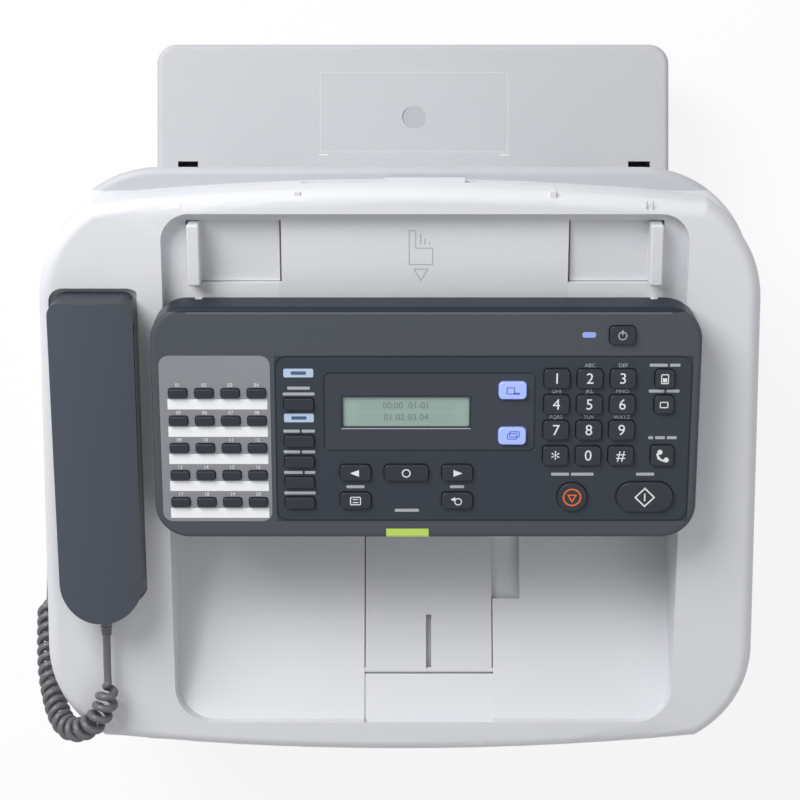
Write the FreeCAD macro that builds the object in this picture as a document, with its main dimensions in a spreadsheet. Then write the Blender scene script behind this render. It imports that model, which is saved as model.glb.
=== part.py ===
"""Desktop laser fax machine: a parametric assembly of separate named pieces.

Row frame: millimetres, +X to the user's right, +Y to the rear, +Z up, origin at the centre of the
footprint on the table. The lid, its control panel, keys and handset lie in a frame that leans
forward by `tilt` about X and has its origin `rim_height` above the table ("leaning frame").
"""
import FreeCAD, Part
import math
import os
import re

import Sketcher

VEC = FreeCAD.Vector

# Driving dimensions: alias, value in mm or degrees, what it is.
DIMS = [
    ("tilt", 17.0, "forward lean of the lid, degrees"),
    ("rim_height", 200.0, "height of the lid surface at the origin"),
    ("fit_gap", 0.3, "gap beside a piece that slides or is pressed"),
    ("seat_gap", 0.3, "gap under a piece that rests in a seat"),
    ("shaft_gap", 0.05, "radial clearance of a turning shaft"),
    ("lid_width", 369.0, "width of the lid at its front end"),
    ("lid_rear_width", 356.0, "width of the lid at its rear end"),
    ("lid_front", 201.5, "lid front edge, along the slope from the origin"),
    ("lid_rear", 100.0, "lid rear edge, along the slope from the origin"),
    ("lid_height", 28.0, "depth of the lid's skirt"),
    ("lid_wall", 3.0, "wall of the lid"),
    ("lid_corner", 57.0, "plan corner radius of the lid"),
    ("lid_edge", 7.0, "rounding of the lid's upper edge"),
    ("bow_radius", 1500.0, "radius of the bowed front and rear edges"),
    ("mouth_left", 117.5, "left side of the lid's opening"),
    ("mouth_right", 142.0, "right side of the lid's opening"),
    ("bowl_front", 184.0, "front of the output bowl along the slope"),
    ("bowl_rear", 40.0, "rear wall of the output bowl along the slope"),
    ("bowl_lip", 5.0, "depth of the bowl at its front"),
    ("bowl_slope", 8.0, "fall of the bowl floor to the rear, degrees"),
    ("bowl_corner", 20.0, "plan corner radius of the bowl"),
    ("bowl_cove", 5.0, "rounding between bowl floor and wall"),
    ("tub_wall", 2.5, "wall of the bowl and of the feed deck"),
    ("rim_round", 2.0, "rounding of the lid's inner rim"),
    ("deck_rear", 88.0, "rear end of the feed deck along the slope"),
    ("deck_depth", 8.0, "depth of the feed deck below the lid surface"),
    ("deck_corner", 14.0, "plan corner radius of the feed deck"),
    ("exit_slot_height", 10.0, "height of the paper exit slot"),
    ("exit_slot_drop", 29.0, "top of the paper exit slot below the lid surface"),
    ("paper_width", 216.0, "widest sheet"),
    ("path_centre", 12.3, "middle of the paper path"),
    ("guide_open", 110.5, "half the gap between the guide fences at rest"),
    ("guide_travel", 35.0, "inward travel of each document guide"),
    ("guide_front", 52.0, "front end of the guides along the slope"),
    ("guide_length", 31.0, "length of a guide along the slope"),
    ("fence_width", 6.5, "width of a guide fence"),
    ("fence_rise", 10.0, "height of a fence above the deck"),
    ("guide_plate", 46.0, "width of a guide's base plate"),
    ("guide_thick", 2.0, "thickness of a guide's base plate"),
    ("support_width", 122.0, "width of the pull-out document support"),
    ("support_length", 62.0, "length of the document support"),
    ("support_thick", 3.0, "thickness of the document support"),
    ("support_depth", 21.0, "depth of the support's slot below the lid surface"),
    ("panel_left", 122.0, "left side of the control panel"),
    ("panel_right", 147.4, "right side of the control panel"),
    ("panel_front", 72.3, "front of the control panel along the slope"),
    ("panel_rear", 46.5, "rear of the control panel along the slope"),
    ("panel_under", 1.6, "underside of the panel above the lid surface"),
    ("panel_top", 22.0, "face of the panel above the lid surface"),
    ("panel_skin", 2.5, "thickness of the panel's face"),
    ("panel_wall", 2.2, "thickness of the panel's side walls"),
    ("panel_corner", 17.0, "plan corner radius of the panel"),
    ("panel_edge", 2.5, "rounding of the panel's upper edge"),
    ("panel_pivot_in", 5.5, "hinge axis in front of the panel's rear edge"),
    ("panel_pivot_up", 5.0, "hinge axis above the lid surface"),
    ("pivot_radius", 1.8, "radius of the panel's hinge pins"),
    ("ear_thick", 2.5, "thickness of a hinge ear"),
    ("groove_width", 0.9, "width of the panel's outline grooves"),
    ("groove_depth", 0.5, "depth of the panel's outline grooves"),
    ("inlay_left", -61.4, "left side of the key field"),
    ("inlay_right", 143.2, "right side of the key field"),
    ("inlay_front", -63.4, "front of the key field"),
    ("inlay_rear", 22.4, "rear of the key field"),
    ("inlay_corner", 6.0, "corner radius of the key field"),
    ("speed_left", -118.0, "left side of the speed-dial plate"),
    ("speed_right", -63.6, "right side of the speed-dial plate"),
    ("speed_corner", 5.0, "corner radius of the speed-dial plate"),
    ("speed_thick", 0.8, "thickness of the speed-dial plate"),
    ("screen_left", -37.6, "left side of the display surround"),
    ("screen_right", 66.7, "right side of the display surround"),
    ("screen_front", -26.7, "front of the display surround"),
    ("screen_rear", 14.0, "rear of the display surround"),
    ("lcd_centre_x", 3.0, "middle of the display window"),
    ("lcd_centre_y", -6.5, "middle of the display window along the slope"),
    ("lcd_width", 62.4, "width of the display window"),
    ("lcd_height", 15.4, "height of the display window"),
    ("lcd_sunk", 1.2, "display glass below the panel face"),
    ("lcd_thick", 7.0, "thickness of the display module"),
    ("board_drop", 9.5, "circuit board below the panel face"),
    ("board_thick", 1.6, "thickness of a circuit board"),
    ("key_rise", 1.8, "height of a key above the panel face"),
    ("key_flange", 1.0, "overhang of a key's retaining flange"),
    ("key_flange_thick", 1.0, "thickness of a key's retaining flange"),
    ("key_travel", 1.5, "travel of a key"),
    ("key_corner", 2.2, "plan corner radius of a key"),
    ("key_edge", 0.7, "rounding of a key's upper edge"),
    ("digit_width", 12.6, "width of a digit key"),
    ("digit_depth", 9.9, "depth of a digit key"),
    ("digit_x", 76.7, "middle of the first digit column"),
    ("digit_y", 11.0, "middle of the first digit row along the slope"),
    ("digit_pitch_x", 16.15, "pitch of the digit columns"),
    ("digit_pitch_y", 13.2, "pitch of the digit rows"),
    ("nav_width", 15.3, "width of an arrow, menu or back key"),
    ("nav_depth", 8.4, "depth of an arrow, menu or back key"),
    ("nav_x", 3.1, "middle of the key cluster under the display"),
    ("nav_step", 25.2, "arrow keys from the middle of the cluster"),
    ("nav_y", -37.6, "arrow row along the slope"),
    ("nav_row", 14.5, "menu row in front of the arrow row"),
    ("enter_width", 21.8, "width of the enter key"),
    ("small_width", 9.6, "width of a small function key"),
    ("small_depth", 9.4, "depth of a small function key"),
    ("hook_key_size", 11.4, "size of the hands-free key"),
    ("side_x", 129.4, "middle of the right-hand key column"),
    ("lit_width", 13.6, "width of a lit key"),
    ("lit_depth", 8.8, "depth of a lit key"),
    ("lit_x", 55.2, "middle of the lit keys"),
    ("lit_y", 5.0, "rear lit key along the slope"),
    ("lit_pitch", 23.4, "pitch of the lit keys"),
    ("power_width", 12.7, "width of the power key"),
    ("power_depth", 9.4, "depth of the power key"),
    ("power_x", 108.1, "middle of the power key"),
    ("power_y", 32.9, "power key along the slope"),
    ("lamp_x", 92.0, "middle of the power lamp"),
    ("lamp_width", 6.6, "width of the power lamp"),
    ("lamp_depth", 2.7, "depth of the power lamp"),
    ("stop_radius", 7.4, "radius of the stop key"),
    ("stop_x", 85.4, "middle of the stop key"),
    ("start_x", 121.5, "middle of the start key"),
    ("start_width", 28.2, "width of the start key"),
    ("start_depth", 15.6, "depth of the start key"),
    ("action_y", -50.2, "start and stop keys along the slope"),
    ("function_x", -49.7, "middle of the function key column"),
    ("function_width", 14.6, "width of a function key"),
    ("function_depth", 5.9, "depth of a function key"),
    ("function_y", -2.1, "first function key along the slope"),
    ("function_gap", 19.1, "second function key in front of the first"),
    ("function_pitch", 10.75, "pitch of the other function keys"),
    ("speed_x", -108.9, "first speed-dial column"),
    ("speed_y", 3.3, "first speed-dial row along the slope"),
    ("speed_pitch_x", 12.85, "pitch of the speed-dial columns"),
    ("speed_pitch_y", 14.15, "pitch of the speed-dial rows"),
    ("speed_key_width", 9.2, "width of a speed-dial key"),
    ("speed_key_depth", 4.8, "depth of a speed-dial key"),
    ("status_x", 3.7, "middle of the status lamp"),
    ("status_width", 21.4, "width of the status lamp"),
    ("status_depth", 5.0, "depth of the status lamp"),
    ("handset_x", -151.0, "middle of the handset"),
    ("handset_width", 41.8, "width of the handset"),
    ("handset_front", -118.2, "front tip of the handset along the slope"),
    ("handset_rear", 48.6, "rear end of the handset along the slope"),
    ("handset_tip", 20.0, "radius of the handset's front end"),
    ("handset_corner", 7.0, "radius of the handset's rear corners"),
    ("handset_under", 1.0, "parting plane of the handset above the lid surface"),
    ("handset_top", 24.0, "crest of the handset above the lid surface"),
    ("handset_crown", 52.0, "radius of the handset's crowned back"),
    ("handset_edge", 2.0, "rounding of the handset's upper edge"),
    ("handset_lift", 70.0, "lift of the handset off its cradle"),
    ("grip_thick", 4.0, "depth of the handset's lower shell"),
    ("cup_radius", 17.5, "radius of the ear cup"),
    ("cup_depth", 13.0, "depth of the cups below the parting plane"),
    ("handset_taper", 6.0, "draft of the handset's right side, degrees"),
    ("mouth_radius", 15.5, "radius of the mouth cup"),
    ("mouth_shift", 1.5, "mouth cup to the left of the handset's middle"),
    ("cup_inset", 20.5, "cups from the ends of the handset"),
    ("cradle_gap", 2.0, "gap around the handset in its cradle"),
    ("cradle_depth", 5.0, "depth of the cradle"),
    ("hook_width", 10.0, "width of the hook plunger"),
    ("hook_length", 6.0, "length of the hook plunger along the slope"),
    ("hook_height", 14.0, "height of the hook plunger"),
    ("hook_y", -36.0, "hook plunger along the slope"),
    ("house_width", 356.0, "width of the housing"),
    ("house_front", -183.0, "front face of the housing"),
    ("house_rear", 110.0, "rear face of the housing"),
    ("house_corner", 57.0, "plan corner radius of the housing"),
    ("house_wall", 3.0, "wall of the housing"),
    ("house_ledge", 14.0, "width of the ledge that carries the lid"),
    ("house_edge", 3.5, "rounding of the housing's shoulder"),
    ("house_base", 7.0, "lower edge of the housing above the table"),
    ("foot_height", 4.0, "height of a rubber foot"),
    ("foot_radius", 9.0, "radius of a rubber foot"),
    ("foot_x", 140.0, "feet to each side of the middle"),
    ("foot_front", -150.0, "front feet"),
    ("foot_rear", 80.0, "rear feet"),
    ("base_floor", 3.0, "thickness of the base plate"),
    ("drawer_centre", 7.3, "middle of the paper cassette"),
    ("rail_gap", 0.5, "gap between the cassette and its rails"),
    ("rail_thick", 7.0, "thickness of the cassette rails"),
    ("engine_deck", 60.0, "underside of the engine deck"),
    ("engine_deck_thick", 3.0, "thickness of the engine deck"),
    ("engine_front", -120.0, "front of the engine deck"),
    ("cheek_top", 112.0, "top of the engine's side cheeks"),
    ("cheek_thick", 3.0, "thickness of the engine's side cheeks"),
    ("drawer_half", 138.0, "half width of the paper cassette"),
    ("drawer_top", 55.0, "top of the paper cassette"),
    ("drawer_wall", 3.0, "wall of the paper cassette"),
    ("drawer_rear", 184.0, "rear end of the paper cassette"),
    ("drawer_travel", 240.0, "travel of the paper cassette"),
    ("fascia_half", 140.0, "half width of the cassette's front"),
    ("fascia_thick", 6.0, "thickness of the cassette's front"),
    ("grip_width", 96.0, "width of the cassette's finger grip"),
    ("grip_height", 16.0, "height of the cassette's finger grip"),
    ("cover_left", 136.0, "left side of the cassette cover"),
    ("cover_right", 150.5, "right side of the cassette cover"),
    ("cover_rear", 192.7, "rear end of the cassette cover"),
    ("cover_top", 72.0, "top of the cassette cover"),
    ("cover_wall", 2.5, "wall of the cassette cover"),
    ("cover_corner", 11.0, "corner radius of the cassette cover"),
    ("cover_bottom", 7.0, "lower edge of the cassette cover"),
    ("door_half", 112.0, "half width of the front door"),
    ("door_bottom", 62.0, "lower edge of the front door"),
    ("door_top", 107.0, "upper edge of the front door"),
    ("door_thick", 3.0, "thickness of the front door"),
    ("door_pin", 1.0, "radius of the front door's hinge pins"),
    ("flap_left", -18.2, "left side of the output flap"),
    ("flap_right", 48.5, "right side of the output flap"),
    ("flap_hinge", 25.5, "hinge of the output flap behind the bowl's front, along its floor"),
    ("flap_length", 70.5, "length of the output flap"),
    ("flap_thick", 3.0, "thickness of the output flap"),
    ("flap_slot_width", 2.8, "width of the slit in the output flap"),
    ("flap_slot_length", 29.0, "length of the slit in the output flap"),
    ("flap_pin", 1.4, "radius of the output flap's pivots"),
    ("channel_depth", 4.5, "depth of the channel under the output flap"),
    ("finger_width", 15.0, "width of the finger recess beside the flap"),
    ("finger_length", 34.0, "length of the finger recess beside the flap"),
    ("ear_left", -100.5, "outer side of the left hinge ear"),
    ("ear_right", 126.5, "outer side of the right hinge ear"),
    ("ear_depth", 5.0, "depth of a hinge ear along the slope"),
    ("lug_thick", 3.0, "thickness of a hinge lug"),
    ("roller_radius", 8.0, "radius of a rubber roller"),
    ("shaft_radius", 3.0, "radius of a roller shaft"),
    ("jack_y", -88.0, "handset jack on the left side"),
    ("jack_z", 78.0, "height of the handset jack"),
    ("jack_size", 13.0, "opening of the handset jack"),
    ("jack_depth", 12.0, "depth of the handset jack"),
    ("screw_head", 3.4, "radius of a screw head"),
    ("screw_shank", 1.5, "radius of a screw shank"),
    ("cord_wire", 4.0, "diameter of the handset cord"),
    ("curl_radius", 4.6, "radius of the handset cord's curls"),
    ("curl_pitch", 6.3, "pitch of the handset cord's curls"),
]
NAMES = {alias for alias, _, _ in DIMS}

doc = FreeCAD.newDocument("fax_machine")
sheet = doc.addObject("Spreadsheet::Sheet", "dims")
for row, (alias, value, note) in enumerate(DIMS, start=1):
    sheet.set(f"A{row}", note)
    sheet.set(f"B{row}", str(value))
    sheet.setAlias(f"B{row}", alias)
doc.recompute()


def size(alias):
    """A driving dimension as a number."""
    return float(sheet.get(alias))


def bound(text):
    """An expression in plain aliases, written for the document's expression engine."""
    return re.sub(r"[a-z_][a-z_0-9]*", lambda m: f"dims.{m[0]}" if m[0] in NAMES else m[0], text)


def bind(obj, **properties):
    """Ties properties to expressions; a double underscore in a name stands for a dot."""
    for name, text in properties.items():
        obj.setExpression(name.replace("__", "."), bound(text))
    return obj


def put(obj, x="0", y="0", z="0"):
    """Places an object without turning it."""
    return bind(obj, Placement__Base__x=x, Placement__Base__y=y, Placement__Base__z=z)


def lean(obj, x="0", y="0", z="0"):
    """Places an object that was modelled flat at (x, y, z) of the leaning frame."""
    obj.Placement = FreeCAD.Placement(VEC(), FreeCAD.Rotation(VEC(1, 0, 0), 10))
    bind(obj, Placement__Rotation__Angle="tilt", Placement__Base__x=x)
    return bind(
        obj,
        Placement__Base__y=f"({y}) * cos(tilt) - ({z}) * sin(tilt)",
        Placement__Base__z=f"rim_height + ({y}) * sin(tilt) + ({z}) * cos(tilt)",
    )


def box(name, x, y, z):
    """A box from three (low, high) pairs of expressions."""
    obj = doc.addObject("Part::Box", name)
    bind(obj, Length=f"({x[1]}) - ({x[0]})", Width=f"({y[1]}) - ({y[0]})", Height=f"({z[1]}) - ({z[0]})")
    return put(obj, x[0], y[0], z[0])


TURN = {"X": FreeCAD.Rotation(VEC(0, 1, 0), 90), "Y": FreeCAD.Rotation(VEC(1, 0, 0), -90),
        "Z": FreeCAD.Rotation()}


def rod(name, axis, start, length, radius):
    """A cylinder along +X, +Y or +Z from a start point."""
    obj = doc.addObject("Part::Cylinder", name)
    obj.Placement = FreeCAD.Placement(VEC(), TURN[axis])
    bind(obj, Radius=radius, Height=length)
    return put(obj, *start)


def fuse(name, *shapes):
    obj = doc.addObject("Part::MultiFuse", name)
    obj.Shapes = list(shapes)
    obj.Refine = True
    return obj


def cut(name, base, *tools):
    obj = doc.addObject("Part::Cut", name)
    obj.Base = base
    obj.Tool = tools[0] if len(tools) == 1 else fuse(f"{name}_tools", *tools)
    obj.Refine = True
    return obj


def common(name, *shapes):
    obj = doc.addObject("Part::MultiCommon", name)
    obj.Shapes = list(shapes)
    return obj


def group(name, *shapes):
    obj = doc.addObject("Part::Compound", name)
    obj.Links = list(shapes)
    return obj


def rounded(name, base, radius, wanted):
    """Rounds the edges of base for which wanted(edge) is true."""
    doc.recompute()
    obj = doc.addObject("Part::Fillet", name)
    obj.Base = base
    obj.Edges = [(i, radius, radius) for i, e in enumerate(base.Shape.Edges, start=1) if wanted(e)]
    return obj


def plate(name, x, y, z, corner, edge=None):
    """A padded rounded rectangle from (low, high) pairs; edge rounds its upper rim."""
    body = doc.addObject("PartDesign::Body", name)
    sketch = body.newObject("Sketcher::SketchObject", f"{name}_outline")
    sketch.AttachmentSupport = [(next(o for o in body.Origin.OriginFeatures if o.Role == "XY_Plane"), "")]
    sketch.MapMode = "FlatFace"
    half_w, half_h, r = 20.0, 15.0, 3.0
    corners = [(half_w - r, r - half_h), (half_w - r, half_h - r), (r - half_w, half_h - r),
               (r - half_w, r - half_h)]
    for i, (cx, cy) in enumerate(corners):
        start = math.radians(90 * i - 90)
        along = VEC(math.cos(start), math.sin(start), 0) * r
        back = corners[i - 1]
        line = Part.LineSegment(VEC(*back, 0) + along, VEC(cx, cy, 0) + along)
        arc = Part.ArcOfCircle(Part.Circle(VEC(cx, cy, 0), VEC(0, 0, 1), r), start, start + math.pi / 2)
        sketch.addGeometry([line, arc], False)
    for i in range(8):
        sketch.addConstraint(Sketcher.Constraint("Tangent", i, 2, (i + 1) % 8, 1))
    for line, way in ((0, "Horizontal"), (2, "Vertical"), (4, "Horizontal"), (6, "Vertical")):
        sketch.addConstraint(Sketcher.Constraint(way, line))
    for arc in (3, 5, 7):
        sketch.addConstraint(Sketcher.Constraint("Equal", 1, arc))
    sketch.addConstraint(Sketcher.Constraint("Symmetric", 7, 3, 3, 3, -1, 1))
    for text, parts in (
        (f"({x[1]}) - ({x[0]})", ("DistanceX", 6, 1, 2, 1, 2 * half_w)),
        (f"({y[1]}) - ({y[0]})", ("DistanceY", 0, 1, 4, 1, 2 * half_h)),
        (corner, ("Radius", 1, r)),
    ):
        index = sketch.addConstraint(Sketcher.Constraint(*parts))
        sketch.setExpression(f"Constraints[{index}]", bound(text))
    pad = body.newObject("PartDesign::Pad", f"{name}_pad")
    pad.Profile = sketch
    bind(pad, Length=f"({z[1]}) - ({z[0]})")
    if edge:
        doc.recompute()
        top = max(range(len(pad.Shape.Faces)), key=lambda i: pad.Shape.Faces[i].CenterOfMass.z)
        dressed = body.newObject("PartDesign::Fillet", f"{name}_edge")
        dressed.Base = (pad, [f"Face{top + 1}"])
        bind(dressed, Radius=edge)
        body.Tip = dressed
    middle = (f"(({x[0]}) + ({x[1]})) / 2", f"(({y[0]}) + ({y[1]})) / 2", z[0])
    return put(body, *middle), middle


def slab(name, x, y, z, corner, edge=None):
    """A plate that stays flat, for use inside booleans."""
    return plate(name, x, y, z, corner, edge)[0]


def span(middle, width):
    """A (low, high) pair from a middle and a width."""
    return f"({middle}) - ({width}) / 2", f"({middle}) + ({width}) / 2"


def grown(pair, by):
    """A (low, high) pair moved outwards."""
    return f"({pair[0]}) - ({by})", f"({pair[1]}) + ({by})"


PARTS = {}


def part(name, obj):
    """Registers an object as a sub-part under its node name."""
    obj.Label = name
    PARTS[name] = obj
    return obj


# Lid outline, lid shell, output bowl and feed deck, all in the leaning frame.
def flared(name, inset, low, high, corner):
    """A block that widens from the lid's rear to its front, with rounded upright corners."""
    obj = doc.addObject("Part::Wedge", name)
    bind(obj, Xmin=f"{inset} - lid_width / 2", Xmax=f"lid_width / 2 - {inset}",
         X2min=f"{inset} - lid_rear_width / 2", X2max=f"lid_rear_width / 2 - {inset}",
         Ymin=f"{inset} - lid_front", Ymax=f"lid_rear - {inset}", Zmin=low, Z2min=low, Zmax=high, Z2max=high)
    return rounded(f"{name}_corners", obj, corner, lambda e: e.BoundBox.ZMax - e.BoundBox.ZMin > 1)


def bowed(name, inset, low, high, corner, edge=None):
    """The lid's plan shape, inset all round: a flared block with bowed front and rear edges."""
    block = flared(f"{name}_block", inset, low, high, corner)
    rear = rod(f"{name}_rear_bow", "Z", ("0", f"lid_rear - {inset} - bow_radius", low),
               f"({high}) - ({low})", "bow_radius")
    front = rod(f"{name}_front_bow", "Z", ("0", f"bow_radius - lid_front + {inset}", low),
                f"({high}) - ({low})", "bow_radius")
    shape = common(name, block, rear, front)
    if edge is None:
        return shape
    return rounded(f"{name}_round", shape, edge,
                   lambda e: e.BoundBox.ZMin > -1e-3 and e.BoundBox.ZMax < 1e-3)


FALL = "(tilt + bowl_slope)"
MOUTH_X = ("-mouth_left", "mouth_right")
PIVOT_Y = "panel_rear - panel_pivot_in"


def below_floor(name, depth):
    """A block whose upper face is the sloping bowl floor, `depth` below the lid at the bowl's front."""
    long, tall, lead = "320", "140", "40"
    obj = doc.addObject("Part::Box", name)
    obj.Placement = FreeCAD.Placement(VEC(), FreeCAD.Rotation(VEC(1, 0, 0), -10))
    bind(obj, Length="mouth_left + mouth_right + 40", Width=long, Height=tall)
    bind(obj, Placement__Rotation__Angle=f"-{FALL}")
    return put(
        obj,
        "-mouth_left - 20",
        f"-bowl_front - {lead} * cos{FALL} - {tall} * sin{FALL}",
        f"-({depth}) + {lead} * sin{FALL} - {tall} * cos{FALL}",
    )


def on_floor(obj, along, up):
    """Turns a block of the leaning frame onto the bowl floor: `along` it from the front, `up` off it."""
    obj.Placement = FreeCAD.Placement(VEC(), FreeCAD.Rotation(VEC(1, 0, 0), -10))
    bind(obj, Placement__Rotation__Angle=f"-{FALL}")
    return bind(
        obj,
        Placement__Base__y=f"-bowl_front + ({along}) * cos{FALL} + ({up}) * sin{FALL}",
        Placement__Base__z=f"-bowl_lip - ({along}) * sin{FALL} + ({up}) * cos{FALL}",
    )


def bowl(name, grow, depth, top):
    """The bowl as a solid: plan outline grown by `grow`, cut off at the floor plane."""
    x = grown(MOUTH_X, grow)
    y = grown(("-bowl_front", "-bowl_rear"), grow)
    block = slab(f"{name}_block", x, y, ("-100", top), f"bowl_corner + {grow}")
    return cut(name, block, below_floor(f"{name}_below", depth))


CUPS = (("front", "handset_x - mouth_shift", "handset_front + cup_inset", "mouth_radius"),
        ("rear", "handset_x", "handset_rear - cup_inset", "cup_radius"))


def right_of_handset(name, gap):
    """A block beside the handset's right side, which draws in downwards, `gap` away from it."""
    obj = doc.addObject("Part::Box", name)
    obj.Placement = FreeCAD.Placement(VEC(), FreeCAD.Rotation(VEC(0, 1, 0), 6))
    bind(obj, Length="60", Width="handset_rear - handset_front + 80", Height="160",
         Placement__Rotation__Angle="handset_taper")
    return put(obj, f"handset_x + handset_width / 2 + ({gap}) - (handset_top + 55.6) * tan(handset_taper)",
               "handset_front - 40", "-60")


def make_lid():
    corner = size("lid_corner")
    shell = cut("lid_shell", bowed("lid_skin", "0", "-lid_height", "0", corner, size("lid_edge")),
                bowed("lid_hollow", "lid_wall", "-lid_height", "-lid_wall", corner - size("lid_wall")))
    tub = bowl("tub", "tub_wall", "bowl_lip + tub_wall / cos(tilt + bowl_slope)", "-lid_wall / 2")
    deck_y = ("-bowl_rear - tub_wall", "deck_rear")
    deck = slab("deck", grown(MOUTH_X, "tub_wall"), (deck_y[0], "deck_rear + tub_wall"),
                ("-deck_depth - tub_wall", "-lid_wall / 2"), "deck_corner")
    bed_x = ("path_centre - guide_open - fence_width - 6", "path_centre + guide_open + fence_width + 6")
    guide_y = ("guide_front", "guide_front + guide_length")
    bed_low = "-deck_depth - tub_wall - guide_thick - 2 * seat_gap - 2"
    bed = box("guide_bed", bed_x, grown(guide_y, "2"), (bed_low, f"{bed_low} + 2"))
    posts = [box(f"guide_post_{n}", x, grown(guide_y, "2"), (bed_low, "-deck_depth - 1"))
             for n, x in enumerate(((bed_x[0], f"{bed_x[0]} + 3"), (f"{bed_x[1]} - 3", bed_x[1])))]
    cradle_x = span("handset_x", "handset_width")
    cradle_y = ("handset_front", "handset_rear")
    pan = slab("cradle_pan", grown(cradle_x, "cradle_gap + 1.5"), grown(cradle_y, "cradle_gap + 1.5"),
               ("-cradle_depth - 2.5", "-lid_wall / 2"), "handset_corner + 1.5")
    well_floor = "handset_under - cup_depth - seat_gap"
    pots = [rod(f"pot_{n}", "Z", (x, y, f"{well_floor} - 2.5"), f"-lid_wall - ({well_floor}) + 2.5",
                f"{radius} + fit_gap + 2.5") for n, x, y, radius in CUPS]
    sides = (("left", ("-mouth_left - tub_wall", "-mouth_left")),
             ("right", ("mouth_right", "mouth_right + tub_wall")))
    ear_x = (("left", ("ear_left", "ear_left + ear_thick")),
             ("right", ("ear_right - ear_thick", "ear_right")))
    ears = [box(f"ear_{n}", x, span(PIVOT_Y, "ear_depth"),
                ("-deck_depth - 1", "panel_pivot_up + 3.5")) for n, x in ear_x]
    pins = [rod("pin_left", "X", ("ear_left - lug_thick - 1", PIVOT_Y, "panel_pivot_up"), "lug_thick + 2",
                "pivot_radius"),
            rod("pin_right", "X", ("ear_right - 1", PIVOT_Y, "panel_pivot_up"), "lug_thick + 2",
                "pivot_radius")]
    hangers = []
    for n, x in sides:
        hangers.append(box(f"exit_hanger_{n}", x, ("-bowl_rear - 1", "-bowl_rear + 18"),
                           ("-exit_slot_drop - 16", "-deck_depth - 1")))
        hangers.append(box(f"feed_hanger_{n}", x, ("14", "26"), ("-deck_depth - 14", "-deck_depth - 1")))
    support_x = span("path_centre", "support_width")
    support_z = ("-support_depth - support_thick", "-support_depth")
    sleeve = box("support_sleeve", grown(support_x, "3"),
                 ("lid_rear - support_length - 6", "lid_rear - lid_wall / 2"),
                 grown(support_z, "2.3"))
    sleeve_posts = [box(f"sleeve_post_{n}", x, ("lid_rear - 12", "lid_rear - lid_wall / 2"),
                        ("-support_depth", "-lid_wall / 2"))
                    for n, x in enumerate(((f"{support_x[0]} - 3", support_x[0]),
                                           (support_x[1], f"{support_x[1]} + 3")))]
    flap_x = ("flap_left", "flap_right")
    keel = on_floor(box("channel_keel", grown(flap_x, "fit_gap * 2 + tub_wall"), ("0", "1"), ("0", "1")),
                    "0", "-2 - channel_depth")
    bind(keel, Width="flap_hinge + flap_length + 2", Height="channel_depth + 1")
    pocket_x = ("flap_right + fit_gap * 2", "flap_right + finger_width")
    pocket_far = "flap_hinge + flap_length + 1"
    pocket = on_floor(box("pocket_keel", grown(pocket_x, "tub_wall"),
                          ("0", "finger_length + 2 * tub_wall"),
                          ("0", "channel_depth + 1")),
                      f"{pocket_far} - finger_length - tub_wall", "-2 - channel_depth")
    channel = on_floor(box("channel", grown(flap_x, "fit_gap * 2"), ("0", "flap_length + 3"),
                           ("0", "channel_depth + 1")),
                       "flap_hinge - 2", "-channel_depth")
    front_step = on_floor(box("channel_lead", grown(flap_x, "fit_gap * 2"), ("0", "flap_hinge"),
                              ("0", "5")),
                          "-2", "-1")
    pocket_cut = on_floor(box("pocket_cut", pocket_x, ("0", "finger_length"), ("0", "channel_depth + 1")),
                          f"{pocket_far} - finger_length", "-channel_depth")
    flap_bore = rod("flap_bore", "X",
                    ("flap_left - 3", f"-bowl_front + flap_hinge * cos{FALL} - flap_thick / 2 * sin{FALL}",
                    f"-bowl_lip - flap_hinge * sin{FALL} - flap_thick / 2 * cos{FALL}"),
                    "flap_right - flap_left + 6",
                    "flap_pin + shaft_gap")
    whole = fuse("lid_whole", shell, tub, deck, bed, pan, sleeve, *posts, *pots, *ears, *pins, *hangers,
                 *sleeve_posts,
                 keel, pocket)

    hollow = bowl("bowl_hollow", "0", "bowl_lip", "12")
    deck_hollow = slab("deck_hollow", MOUTH_X, ("-bowl_rear - 12", "deck_rear"), ("-deck_depth", "0.01"),
                       "deck_corner")
    clear_ears = cut("deck_clear", deck_hollow,
                     *[box(f"ear_keep_{n}", x, span(PIVOT_Y, "ear_depth"), ("-20", "20")) for n,
                       x in ear_x])
    cradle_z = ("-cradle_depth", "0.01")
    cradle_cut = fuse("cradle_cut",
                      slab("cradle_long", grown(cradle_x, "cradle_gap"), grown(cradle_y, "cradle_gap"),
                           cradle_z,
                           "handset_tip"),
                      slab("cradle_square", grown(cradle_x, "cradle_gap"),
                           ("handset_rear - 100", "handset_rear + cradle_gap"), cradle_z,
                           "handset_corner"))
    cradle_cut = cut("cradle_room", cradle_cut, right_of_handset("cradle_side", "cradle_gap"))
    wells = [rod(f"well_{n}", "Z", (x, y, well_floor), f"-1 - ({well_floor})",
                 f"{radius} + fit_gap + 0.7")
             for n, x, y, radius in CUPS]
    hook_slot = box("hook_slot", grown(span("handset_x", "hook_width"), "fit_gap"),
                    grown(span("hook_y", "hook_length"), "fit_gap"), ("-20", "0"))
    windows = []
    for n, x in (("left", ("path_centre - guide_open - fence_width - 1",
                           "path_centre - guide_open - fence_width + guide_plate")),
                 ("right", ("path_centre + guide_open + fence_width - guide_plate",
                            "path_centre + guide_open + fence_width + 1"))):
        windows.append(box(f"window_{n}", x, grown(guide_y, "fit_gap"),
                           ("-deck_depth - tub_wall - 0.01", "-deck_depth + 1")))
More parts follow.
